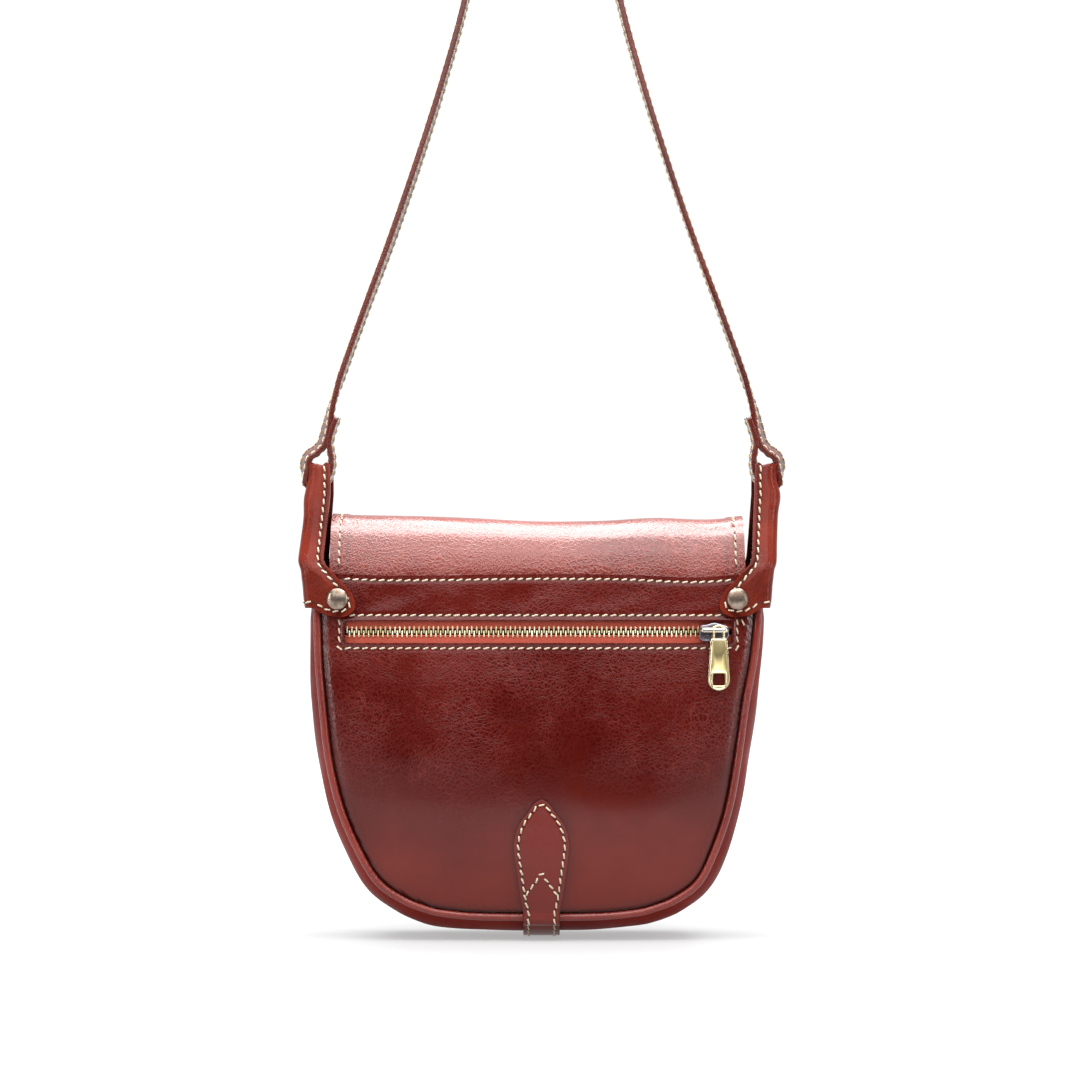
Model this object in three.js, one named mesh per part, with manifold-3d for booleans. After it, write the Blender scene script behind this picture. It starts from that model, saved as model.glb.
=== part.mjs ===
// Saddle-shaped crossbody bag of glossy leather: two bulging panels on a gusset band, a flap that
// goes over the top, two side ears that carry one long shoulder strap, a zip pocket in the back
// panel and a tab that wraps under the base. Millimetres, +Z up, +X right as seen from behind the
// bag, -Y towards the back face. The origin is where the strap hangs, under the top of its arch.

import * as THREE from 'three';
import { mergeVertices } from 'three/addons/utils/BufferGeometryUtils.js';
import Module from 'manifold-3d';

const wasm = await Module();
wasm.setup();

// Body
const HALF_WIDTH = 113.5;
const BODY_DEPTH = 46;
const SEAM_BASE = 13.5;
const PANEL_TOP_HEIGHT = 180;
const WALL = 2;
const PANEL_BULGE = 7.5;
const GUSSET_PUFF = 11;
const PIPING_RADIUS = 1.7;
const GAP = 0.3;
const PIPING_GAP = 0.4;
const PIPING_PROUD = 0.6;

// Zip pocket in the back panel
const ZIP_DROP = 27.8;
const WINDOW_INSET = 18.1;
const WINDOW_HALF_HEIGHT = 5.4;
const WINDOW_CENTRE = 0.4;
const TAPE_OVERLAP = 3.5;
const TAPE_THICKNESS = 0.9;
const TAPE_GAP = 0.6;
const TOOTH_PITCH = 2.37;
const TOOTH_SWING = 1.1;
const TOOTH_RAIL = 1.3;
const TOOTH_THICKNESS = 2.4;
const SLIDER_INSET = 8.8;
const SLIDER_LENGTH = 14.6;
const SLIDER_HEIGHT = 9.3;
const SLIDER_PLATE = 1.4;
const BAIL_RADIUS = 0.9;
const BAIL_STANDOFF = 3.4;
const BAIL_RISE = 1;
const BAIL_LENGTH = 14.6;
const PULL_THICKNESS = 1.6;
const PULL_LENGTH = 32.4;
const PULL_TOP_WIDTH = 8.2;
const PULL_END_WIDTH = 10.8;
const PULL_HOLE = 6;
const EYE_WIDTH = 6.2;
const EYE_DROP = 3.6;
const EYE_RISE = 1.6;
const EYE_WIRE = 1.2;

// Ears and rivets
const EAR_RISE = 57.5;
const LOBE_DROP = 20.4;
const BRIDGE_DIP = 2;
const EAR_TOP_HALF_DEPTH = 14;
const EAR_CORNER_LOW = 4.5;
const EAR_CORNER_HIGH = 6;
const TOP_LEAN = 2.5;
const SLOT_DROP = 13;
const SLOT_HEIGHT = 7.8;
const RIVET_INSET = 15;
const RIVET_RAISE = 8.9;
const RIVET_RADIUS = 5.3;
const RIVET_RISE = 2.2;

// Flap, tab and strap
const FLAP_RISE = 28.3;
const FLAP_INSET = 9;
const FLAP_CLEAR = 2.3;
const FLAP_CROWN = 1;
const FLAP_HEM = 11;
const HEM_GAP = 0.8;
const TAB_CENTRE = 2;
const TAB_TIP = 70.5;
const TAB_HALF_WIDTH = 13.9;
const TAB_THICKNESS = 2.2;
const TAB_FRONT_TOP = 74;
const STUD_HEIGHT = 60;
const STUD_RADIUS = 6;
const STUD_RISE = 3;
const STRAP_WIDTH = 20;
const STRAP_THICKNESS = 2.6;
const STRAP_DROP = 480;
const STRAP_ARCH_RADIUS = 15;
const LOOP_WIDTH = 13.1;
const LOOP_HEIGHT = 23.5;

// Worked out from the sizes above
const ZIP_HEIGHT = PANEL_TOP_HEIGHT - ZIP_DROP;
const LOBE_BASE = PANEL_TOP_HEIGHT - LOBE_DROP;
const EAR_TOP = PANEL_TOP_HEIGHT + EAR_RISE;
const FLAP_TOP = PANEL_TOP_HEIGHT + FLAP_RISE;
const FLAP_HALF_WIDTH = HALF_WIDTH - FLAP_INSET;
const WINDOW_HALF_LENGTH = HALF_WIDTH - WINDOW_INSET;
const SLIDER_CENTRE = WINDOW_CENTRE + WINDOW_HALF_LENGTH - SLIDER_INSET;
const RIVET_SIDE = HALF_WIDTH - RIVET_INSET;
const RIVET_HEIGHT = LOBE_BASE + RIVET_RAISE;
const HALF_DEPTH = BODY_DEPTH / 2;
const PIPING_OFFSET = PIPING_RADIUS + PIPING_GAP;
const EAR_FACE = HALF_DEPTH + PIPING_PROUD + PIPING_RADIUS + GAP + WALL;
const FLAP_STAND = WALL + PANEL_BULGE + FLAP_CLEAR + WALL;
const HANG_HEIGHT = EAR_TOP + STRAP_DROP;
const SLOT_CENTRE = EAR_TOP - SLOT_DROP;

// Half of the seam that joins panel and gusset, from the middle of the base up to the panel top.
// side: share of HALF_WIDTH; rise: share of the seam's height; puff: share of GUSSET_PUFF;
// lean: how far both halves sit to the right, as a share of HALF_WIDTH.
const SEAM = [
  { side: 0, rise: 0, puff: 1, lean: 0 },
  { side: 0.264, rise: 0.002, puff: 1, lean: 0 },
  { side: 0.423, rise: 0.0126, puff: 1, lean: 0.004 },
  { side: 0.493, rise: 0.0246, puff: 1, lean: 0.006 },
  { side: 0.581, rise: 0.0487, puff: 0.98, lean: 0.008 },
  { side: 0.683, rise: 0.099, puff: 0.95, lean: 0.004 },
  { side: 0.758, rise: 0.189, puff: 0.91, lean: -0.004 },
  { side: 0.825, rise: 0.308, puff: 0.83, lean: -0.012 },
  { side: 0.871, rise: 0.453, puff: 0.8, lean: -0.018 },
  { side: 0.904, rise: 0.628, puff: 0.8, lean: -0.015 },
  { side: 0.928, rise: 0.748, puff: 0.68, lean: -0.006 },
  { side: 0.94, rise: 0.865, puff: 0.6, lean: 0 },
  { side: 0.942, rise: 0.904, puff: 0.52, lean: 0 },
  { side: 0.943, rise: 0.952, puff: 0.55, lean: 0 },
  { side: 0.9445, rise: 1, puff: 0.58, lean: 0 },
];

// How far the panels stand out, from base to top. rise: share of the panel's height;
// swell: share of PANEL_BULGE.
const SWELL = [
  { rise: 0, swell: 0 },
  { rise: 0.08, swell: 0.45 },
  { rise: 0.2, swell: 0.8 },
  { rise: 0.4, swell: 1 },
  { rise: 0.6, swell: 0.92 },
  { rise: 0.8, swell: 0.64 },
  { rise: 1, swell: 0.36 },
];

// Ear sections from the lobe up to the strap bridge. edge and side: heights of the flange edge and
// of the outer wall, as shares of the ear's height; reach and wall: shares of HALF_WIDTH;
// narrow: 0 at body depth, 1 at the depth of the ear's top.
const EAR = [
  { edge: 0, side: 0.056, reach: 0.875, wall: 1.013, narrow: 0 },
  { edge: 0.004, side: 0.076, reach: 0.835, wall: 1.015, narrow: 0 },
  { edge: 0.041, side: 0.108, reach: 0.796, wall: 1.018, narrow: 0 },
  { edge: 0.099, side: 0.146, reach: 0.792, wall: 1.02, narrow: 0 },
  { edge: 0.163, side: 0.191, reach: 0.814, wall: 1.022, narrow: 0 },
  { edge: 0.23, side: 0.243, reach: 0.857, wall: 1.026, narrow: 0 },
  { edge: 0.297, side: 0.294, reach: 0.897, wall: 1.03, narrow: 0.03 },
  { edge: 0.358, side: 0.358, reach: 0.928, wall: 1.042, narrow: 0.14 },
  { edge: 0.487, side: 0.487, reach: 0.93, wall: 1.04, narrow: 0.44 },
  { edge: 0.634, side: 0.634, reach: 0.928, wall: 1.037, narrow: 0.7 },
  { edge: 0.76, side: 0.76, reach: 0.927, wall: 1.043, narrow: 0.86 },
  { edge: 0.88, side: 0.88, reach: 0.927, wall: 1.029, narrow: 0.95 },
  { edge: 1, side: 1, reach: 0.93, wall: 1.029, narrow: 1 },
];

// The ears bend outwards at this row, and lean above it.
const CREASE_HEIGHT = LOBE_BASE + EAR[7].side * (EAR_TOP - LOBE_BASE);

// Flap sections from its hem behind the back panel, over the top and down the front.
// run: share of HALF_DEPTH; stand: share of FLAP_STAND; height: share of FLAP_TOP;
// follow: share of the panel's bulge that the section takes up; half: share of FLAP_HALF_WIDTH.
const FLAP = [
  { run: -1, stand: 0, height: 0.864, follow: 1, half: 0.985 },
  { run: -0.99, stand: 0, height: 0.89, follow: 0.95, half: 0.982 },
  { run: -0.95, stand: 0, height: 0.927, follow: 0.75, half: 0.98 },
  { run: -0.82, stand: 0, height: 0.965, follow: 0.4, half: 0.978 },
  { run: -0.56, stand: 0, height: 0.991, follow: 0.12, half: 0.976 },
  { run: -0.18, stand: 0, height: 1, follow: 0, half: 0.976 },
  { run: 0.3, stand: 0, height: 0.999, follow: 0, half: 0.976 },
  { run: 0.75, stand: 0.08, height: 0.986, follow: 0, half: 0.978 },
  { run: 1, stand: 0.4, height: 0.957, follow: 0, half: 0.98 },
  { run: 1, stand: 0.7, height: 0.92, follow: 0, half: 0.985 },
  { run: 1, stand: 0.88, height: 0.866, follow: 0, half: 0.995 },
  { run: 1, stand: 0.95, height: 0.79, follow: 0, half: 1 },
  { run: 1, stand: 0.98, height: 0.672, follow: 0, half: 0.995 },
  { run: 1, stand: 1, height: 0.53, follow: 0, half: 0.97 },
  { run: 1, stand: 0.985, height: 0.41, follow: 0, half: 0.928 },
  { run: 1, stand: 0.93, height: 0.29, follow: 0, half: 0.856 },
  { run: 1, stand: 0.84, height: 0.205, follow: 0, half: 0.76 },
  { run: 1, stand: 0.76, height: 0.158, follow: 0, half: 0.64 },
  { run: 1, stand: 0.72, height: 0.134, follow: 0, half: 0.5 },
  { run: 1, stand: 0.7, height: 0.125, follow: 0, half: 0.34 },
];

// Back of the tab from its pointed tip down to the piping. drop: share of the tab's back height;
// half: share of TAB_HALF_WIDTH.
const TAB_BACK = [
  { drop: 0, half: 0.07 },
  { drop: 0.1, half: 0.45 },
  { drop: 0.21, half: 0.81 },
  { drop: 0.34, half: 0.99 },
  { drop: 0.43, half: 1 },
  { drop: 0.62, half: 0.89 },
  { drop: 0.83, half: 0.76 },
  { drop: 0.95, half: 0.65 },
];

// Front of the tab from the flap's hem up to its rounded end.
const TAB_FRONT = [
  { rise: 0.04, half: 0.64 },
  { rise: 0.2, half: 0.7 },
  { rise: 0.45, half: 0.8 },
  { rise: 0.7, half: 0.86 },
  { rise: 0.88, half: 0.72 },
  { rise: 0.97, half: 0.42 },
  { rise: 1, half: 0.12 },
];

// One strand of the strap from the ear up to the arch. rise: share of the height between ear top
// and arch centre; spread: share of the distance from the middle to the outer leg of the end loop.
const STRAND = [
  { rise: 0.0645, spread: 0.882 },
  { rise: 0.1505, spread: 0.764 },
  { rise: 0.2366, spread: 0.6385 },
  { rise: 0.3226, spread: 0.523 },
  { rise: 0.4086, spread: 0.417 },
  { rise: 0.4946, spread: 0.325 },
  { rise: 0.629, spread: 0.2155 },
  { rise: 0.7796, spread: 0.1565 },
  { rise: 0.914, spread: 0.1395 },
];

// The end loop that each strand makes round the ear's bridge, and its tail. across: share of
// LOOP_WIDTH inwards from the outer leg; rise: share of LOOP_HEIGHT above the slot.
const LOOP = [
  { across: 0.672, rise: 1 },
  { across: 0.412, rise: 0.808 },
  { across: 0.137, rise: 0.7 },
  { across: 0, rise: 0.553 },
  { across: 0, rise: 0.234 },
  { across: 0.038, rise: 0.081 },
  { across: 0.26, rise: -0.008 },
  { across: 0.565, rise: 0.02 },
  { across: 0.847, rise: 0.183 },
  { across: 1, rise: 0.426 },
  { across: 0.992, rise: 0.702 },
  { across: 0.916, rise: 0.957 },
  { across: 1.046, rise: 1.255 },
  { across: 1.198, rise: 1.49 },
];

const LEATHER = { color: 0x6d2318, roughness: 0.32, metalness: 0 };
const LEATHER_DARK = { color: 0x4f1712, roughness: 0.38, metalness: 0 };
const LEATHER_TAN = { color: 0x8f3a1f, roughness: 0.4, metalness: 0 };
const TAPE = { color: 0xa8481c, roughness: 0.8, metalness: 0 };
const BRASS = { color: 0xb39a5c, roughness: 0.35, metalness: 1 };
const GUNMETAL = { color: 0x4a4748, roughness: 0.3, metalness: 1 };
const ANTIQUE = { color: 0x7d6f5e, roughness: 0.35, metalness: 1 };

const lerp = THREE.MathUtils.lerp;
const clamp = THREE.MathUtils.clamp;

// Value of one column of a table at a position along another, on a smooth curve through its rows.
function along(table, key, value, position) {
  let row = 0;
  while (row < table.length - 2 && table[row + 1][key] < position) row += 1;
  const before = table[Math.max(row - 1, 0)];
  const start = table[row];
  const end = table[row + 1];
  const after = table[Math.min(row + 2, table.length - 1)];
  const span = end[key] - start[key];
  const t = clamp((position - start[key]) / span, 0, 1);
  const slopeStart = (end[value] - before[value]) / (end[key] - before[key]) * span;
  const slopeEnd = (after[value] - start[value]) / (after[key] - start[key]) * span;
  const t2 = t * t;
  const t3 = t2 * t;
  return (2 * t3 - 3 * t2 + 1) * start[value] + (t3 - 2 * t2 + t) * slopeStart
    + (3 * t2 - 2 * t3) * end[value] + (t3 - t2) * slopeEnd;
}

// Closed body from triangles given as point indices, turned so that its faces point out.
function bodyFrom(points, faces) {
  let volume = 0;
  const side = new THREE.Vector3();
  for (const [a, b, c] of faces) {
    volume += points[a].dot(side.crossVectors(points[b], points[c]));
  }
  const turned = volume < 0 ? faces.map(([a, b, c]) => [a, c, b]) : faces;
  const geometry = new THREE.BufferGeometry();
  const places = points.flatMap((point) => [point.x, point.y, point.z]);
  geometry.setAttribute('position', new THREE.Float32BufferAttribute(places, 3));
  geometry.setIndex(turned.flat());
  return geometry;
}

// Sheet of leather between an outer and an inner grid of points, closed round its four edges.
function sheet(outer, inner) {
  const rows = outer.length;
  const columns = outer[0].length;
  const points = [...outer.flat(), ...inner.flat()];
  const back = rows * columns;
  const faces = [];
  const quad = (a, b, c, d) => faces.push([a, b, c], [a, c, d]);
  for (let row = 0; row < rows - 1; row += 1) {
    for (let column = 0; column < columns - 1; column += 1) {
      const a = row * columns + column;
      quad(a, a + 1, a + columns + 1, a + columns);
      quad(back + a, back + a + columns, back + a + columns + 1, back + a + 1);
    }
    const first = row * columns;
    const last = first + columns - 1;
    quad(first, first + columns, back + first + columns, back + first);
    quad(last, back + last, back + last + columns, last + columns);
  }
  for (let column = 0; column < columns - 1; column += 1) {
    const top = (rows - 1) * columns + column;
    quad(column, back + column, back + column + 1, column + 1);
    quad(top, top + 1, back + top + 1, back + top);
  }
  return bodyFrom(points, faces);
}

function toSolid(geometry) {
  const bare = new THREE.BufferGeometry();
  bare.setAttribute('position', geometry.getAttribute('position'));
  if (geometry.index) bare.setIndex(geometry.index);
  const merged = mergeVertices(bare, 1e-4);
  return new wasm.Manifold(new wasm.Mesh({
    numProp: 3,
    vertProperties: new Float32Array(merged.getAttribute('position').array),
    triVerts: new Uint32Array(merged.index.array),
  }));
}

function toGeometry(solid) {
  const mesh = solid.getMesh();
  const geometry = new THREE.BufferGeometry();
  geometry.setAttribute('position', new THREE.BufferAttribute(mesh.vertProperties, 3));
  geometry.setIndex(new THREE.BufferAttribute(mesh.triVerts, 1));
  return geometry;
}

function named(name, geometry, look) {
  const mesh = new THREE.Mesh(geometry, new THREE.MeshStandardMaterial(look));
  mesh.name = name;
  return mesh;
}

function block(width, depth, height, x, y, z) {
  return new THREE.BoxGeometry(width, depth, height).translate(x, y, z);
}

// Points of an elliptic arc, both ends included.
function arc(x, y, radiusX, radiusY, from, to, steps) {
  return Array.from({ length: steps + 1 }, (_, step) => {
    const angle = lerp(from, to, step / steps);
    return new THREE.Vector2(x + radiusX * Math.cos(angle), y + radiusY * Math.sin(angle));
  });
}

// Flat outline in the XZ plane, given thickness along Y and centred on the given depth.
function plateXZ(shape, thickness, depthCentre) {
  const plate = new THREE.ExtrudeGeometry(shape, { depth: thickness, bevelEnabled: false });
  return plate.rotateX(Math.PI / 2).translate(0, depthCentre + thickness / 2, 0);
}

// Points of the half seam with x, height and puff, evenly spread from the base to the top.
const SEAM_STEPS = 20;
const SEAM_HEIGHT = PANEL_TOP_HEIGHT - SEAM_BASE;
const halfSeam = new THREE.CatmullRomCurve3(SEAM.map((row) => new THREE.Vector3(
  row.side * HALF_WIDTH, SEAM_BASE + row.rise * SEAM_HEIGHT, row.puff * GUSSET_PUFF,
))).getSpacedPoints(SEAM_STEPS);

// How far the body's middle sits to the right at a height.
function lean(height) {
  const rise = clamp((height - SEAM_BASE) / SEAM_HEIGHT, 0, 1);
  return along(SEAM, 'rise', 'lean', rise) * HALF_WIDTH;
}

// How far a panel stands out from its seam plane at a place on the face.
function bulge(x, height) {
  const rise = clamp((height - SEAM_BASE) / SEAM_HEIGHT, 0, 1);
  const side = along(SEAM, 'rise', 'side', rise) * HALF_WIDTH;
  const across = Math.min(Math.abs(x - lean(height)) / Math.max(side, 1), 1);
  return PANEL_BULGE * along(SWELL, 'rise', 'swell', rise) * (1 - across ** 4) ** 0.75;
}

// The whole seam from the left top, under the base, to the right top, with outward directions.
const seamStations = (() => {
  const half = (side) => halfSeam.map((point) => new THREE.Vector3(
    side * point.x + lean(point.y), point.y, point.z,
  ));
  const path = [...half(-1).slice(1).reverse(), ...half(1)];
  return path.map((point, index) => {
    const before = path[Math.max(index - 1, 0)];
    const after = path[Math.min(index + 1, path.length - 1)];
    const run = new THREE.Vector2(after.x - before.x, after.y - before.y).normalize();
    return { x: point.x, height: point.y, puff: point.z, outX: run.y, outZ: -run.x };
  });
})();

// Bulging panel on one face of the bag: face is -1 for the back, 1 for the front.
function panelGeometry(face) {
  const columns = 14;
  const rows = halfSeam.filter((point) => point.x > HALF_WIDTH * 0.26);
  const grid = (lift) => rows.map((point) => Array.from({ length: columns + 1 }, (_, column) => {
    const x = lean(point.y) + point.x * Math.sin(Math.PI * (column / columns - 0.5));
    return new THREE.Vector3(x, face * (HALF_DEPTH + lift + bulge(x, point.y)), point.y);
  }));
  return sheet(grid(WALL), grid(0));
}

function backPanelGeometry() {
  const window = block(
    2 * WINDOW_HALF_LENGTH, 4 * (WALL + PANEL_BULGE), 2 * WINDOW_HALF_HEIGHT,
    WINDOW_CENTRE, -HALF_DEPTH, ZIP_HEIGHT,
  );
  return toGeometry(toSolid(panelGeometry(-1)).subtract(toSolid(window)));
}

function gussetGeometry() {
  const columns = 6;
  const reach = HALF_DEPTH - GAP;
  const grid = (inset) => seamStations.map((station) => Array.from(
    { length: columns + 1 },
    (_, column) => {
      const across = 2 * column / columns - 1;
      const out = station.puff * (1 - across ** 2) - inset;
      const x = station.x + station.outX * out;
      return new THREE.Vector3(x, across * reach, station.height + station.outZ * out);
    },
  ));
  return sheet(grid(0), grid(WALL));
}

function pipingGeometry(face) {
  const points = seamStations.map((station) => new THREE.Vector3(
    station.x + station.outX * PIPING_OFFSET,
    face * (HALF_DEPTH + PIPING_PROUD),
    station.height + station.outZ * PIPING_OFFSET,
  ));
  const sides = 8;
  const lastAngle = 2 * Math.PI * (sides - 1) / sides;
  const section = new THREE.Shape(arc(0, 0, PIPING_RADIUS, PIPING_RADIUS, 0, lastAngle, sides - 1));
  return new THREE.ExtrudeGeometry(section, {
    extrudePath: new THREE.CatmullRomCurve3(points), steps: points.length - 1,
  });
}

// Middle line of the flap's outer face, as rows of depth, height, half width and follow.
const flapRows = FLAP.map((row) => ({
  depth: row.run * HALF_DEPTH + row.stand * FLAP_STAND + (row.run < -0.9 ? HEM_GAP : 0),
  height: row.height * FLAP_TOP,
  half: row.half * FLAP_HALF_WIDTH,
  follow: row.follow,
  crown: row.stand * FLAP_CROWN,
}));
flapRows.unshift({ ...flapRows[0], height: PANEL_TOP_HEIGHT - FLAP_HEM });

function flapGeometry() {
  const columns = 12;
  const grid = (inset) => flapRows.map((row, index) => {
    const before = flapRows[Math.max(index - 1, 0)];
    const after = flapRows[Math.min(index + 1, flapRows.length - 1)];
    const run = new THREE.Vector2(after.depth - before.depth, after.height - before.height);
    run.normalize();
    return Array.from({ length: columns + 1 }, (_, column) => {
      const across = 2 * column / columns - 1;
      const x = across * row.half;
      const swell = row.follow * bulge(x, Math.min(row.height, PANEL_TOP_HEIGHT));
      const y = row.depth - swell - row.crown * across ** 2 + run.y * inset;
      return new THREE.Vector3(x, y, row.height - run.x * inset);
    });
  });
  return sheet(grid(0), grid(WALL));
}

// Depth of the flap's outer face on the front, at a height.
function flapFront(height) {
  const front = flapRows.filter((row) => row.depth > HALF_DEPTH * 0.99);
  let row = 0;
  while (row < front.length - 2 && front[row + 1].height > height) row += 1;
  const share = (front[row].height - height) / (front[row].height - front[row + 1].height);
  return lerp(front[row].depth, front[row + 1].depth, clamp(share, 0, 1));
}

// Channel-shaped ear on the +X side, open towards the bag, with a lobe on each face.
function earGrid(inset) {
  const height = EAR_TOP - LOBE_BASE;
  const flangeSteps = 3;
  const cornerSteps = 3;
  return EAR.map((row) => {
    const edgeHeight = LOBE_BASE + row.edge * height;
    const top = row.edge === 1;
    const sideHeight = LOBE_BASE + row.side * height - (top ? BRIDGE_DIP : 0);
    const wall = row.wall * HALF_WIDTH;
    const face = lerp(EAR_FACE, EAR_TOP_HALF_DEPTH, row.narrow);
    const corner = lerp(EAR_CORNER_LOW, EAR_CORNER_HIGH, row.narrow);
    const fade = clamp(1 - row.narrow * 4, 0, 1);
    const half = [];
    for (let step = 0; step <= flangeSteps; step += 1) {
      const share = step / flangeSteps;
      const x = lerp(row.reach * HALF_WIDTH, wall - corner, share);
      const z = lerp(edgeHeight, sideHeight, share ** 2);
      half.push([x, -(face - inset + fade * bulge(x, Math.min(z, PANEL_TOP_HEIGHT))), z]);
    }
    for (let step = 1; step <= cornerSteps; step += 1) {
      const angle = Math.PI / 2 * step / cornerSteps;
      const radius = corner - inset;
      half.push([
        wall - corner + radius * Math.sin(angle), -(face - corner) - radius * Math.cos(angle),
        sideHeight,
      ]);
    }
    const other = half.map(([x, y, z]) => [x, -y, z]).reverse();
    return [...half, [wall - inset, 0, sideHeight], ...other].map(([x, y, z]) => (
      new THREE.Vector3(x, y, z)
    ));
  });
}

function earGeometry(side) {
  const slot = block(
    HALF_WIDTH / 3, STRAP_WIDTH + 1, SLOT_HEIGHT, HALF_WIDTH, 0, SLOT_CENTRE,
  );
  const geometry = toGeometry(toSolid(sheet(earGrid(0), earGrid(WALL))).subtract(toSolid(slot)));
  const leanHeight = SLOT_CENTRE - SLOT_HEIGHT / 2 - CREASE_HEIGHT;
  const place = geometry.getAttribute('position');
  for (let index = 0; index < place.count; index += 1) {
    const lean = TOP_LEAN * clamp((place.getZ(index) - CREASE_HEIGHT) / leanHeight, 0, 1);
    place.setX(index, side * place.getX(index) + lean);
  }
  return side > 0 ? geometry : flipped(geometry);
}

function flipped(geometry) {
  const index = geometry.index.array;
  for (let start = 0; start < index.length; start += 3) {
    [index[start + 1], index[start + 2]] = [index[start + 2], index[start + 1]];
  }
  return geometry;
}

// Turned button with a low dome: its base lies at z = 0 and it stands towards +Z.
function domeGeometry(radius, rise) {
  const segments = 14;
  const rim = rise * 0.3;
  const profile = [new THREE.Vector2(0, 0), new THREE.Vector2(radius, 0)];
  for (let step = 0; step <= 3; step += 1) {
    const angle = Math.PI / 2 * step / 3;
    profile.push(new THREE.Vector2(
      step === 3 ? 0 : radius * Math.cos(angle), rim + (rise - rim) * Math.sin(angle),
    ));
  }
  return new THREE.LatheGeometry(profile, segments).rotateX(Math.PI / 2);
}

// Rivet head seated on the lobe of an ear, tilted with the bulge under it.
function rivet(name, side, face) {
  const mesh = named(name, domeGeometry(RIVET_RADIUS, RIVET_RISE), ANTIQUE);
  const inner = bulge(RIVET_SIDE - RIVET_RADIUS, RIVET_HEIGHT);
  const outer = bulge(RIVET_SIDE + RIVET_RADIUS, RIVET_HEIGHT);
  const tilt = Math.atan2(inner - outer, 2 * RIVET_RADIUS);
  mesh.rotation.x = -face * Math.PI / 2;
  const seat = new THREE.Group();
  seat.position.set(side * RIVET_SIDE, face * (EAR_FACE + (inner + outer) / 2 + 2 * GAP), RIVET_HEIGHT);
  seat.rotation.z = -side * face * tilt;
  seat.add(mesh);
  return seat;
}

// Depth of the back panel's inner face behind the zip, at a place along it.
function zipPlane(x) {
  return -(HALF_DEPTH + bulge(x, ZIP_HEIGHT));
}

// Strip of zip tape between two heights, just behind the panel.
function tapeGeometry(low, high) {
  const columns = 16;
  const grid = (depth) => [low, high].map((height) => Array.from(
    { length: columns + 1 },
    (_, column) => {
      const reach = WINDOW_HALF_LENGTH + WALL;
      const x = WINDOW_CENTRE + reach * (2 * column / columns - 1);
      const face = -(HALF_DEPTH + bulge(x, height));
      return new THREE.Vector3(x, face + TAPE_GAP + depth, height);
    },
  ));
  return sheet(grid(0), grid(TAPE_THICKNESS));
}

// Row of zip teeth: a rail with a tooth at each pitch, bent along the panel.
function teethGeometry(side) {
  const start = WINDOW_CENTRE - WINDOW_HALF_LENGTH + GAP;
  const end = SLIDER_CENTRE - SLIDER_LENGTH / 2 - GAP;
  const count = Math.floor((end - start) / TOOTH_PITCH) - 1;
  const shift = side > 0 ? 0 : TOOTH_PITCH / 2;
  const root = GAP + TOOTH_SWING;
  const outline = [];
  for (let tooth = 0; tooth <= count; tooth += 1) {
    const x = start + shift + tooth * TOOTH_PITCH;
    outline.push(new THREE.Vector2(x, side * root));
    if (tooth < count) {
      outline.push(new THREE.Vector2(x + TOOTH_PITCH / 2, -side * (TOOTH_SWING - GAP)));
    }
  }
  const last = outline[outline.length - 1].x;
  outline.push(new THREE.Vector2(last, side * (root + TOOTH_RAIL)));
  outline.push(new THREE.Vector2(start + shift, side * (root + TOOTH_RAIL)));
  const geometry = plateXZ(new THREE.Shape(outline), TOOTH_THICKNESS, 0);
  const place = geometry.getAttribute('position');
  for (let index = 0; index < place.count; index += 1) {
    place.setY(index, place.getY(index) + zipPlane(place.getX(index)) + TAPE_GAP + TAPE_THICKNESS / 2);
  }
  return geometry.translate(0, 0, ZIP_HEIGHT);
}

// Slider body with the bail that carries the pull; the pull's axis is the bail's bar.
const SLIDER_FACE = zipPlane(SLIDER_CENTRE - SLIDER_LENGTH / 2) - TOOTH_THICKNESS / 2 - SLIDER_PLATE;
const PULL_AXIS = new THREE.Vector3(
  SLIDER_CENTRE + BAIL_LENGTH / 2 - 2 * BAIL_RADIUS - GAP - EYE_WIDTH / 2,
  SLIDER_FACE - BAIL_STANDOFF,
  ZIP_HEIGHT + BAIL_RISE,
);

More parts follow.
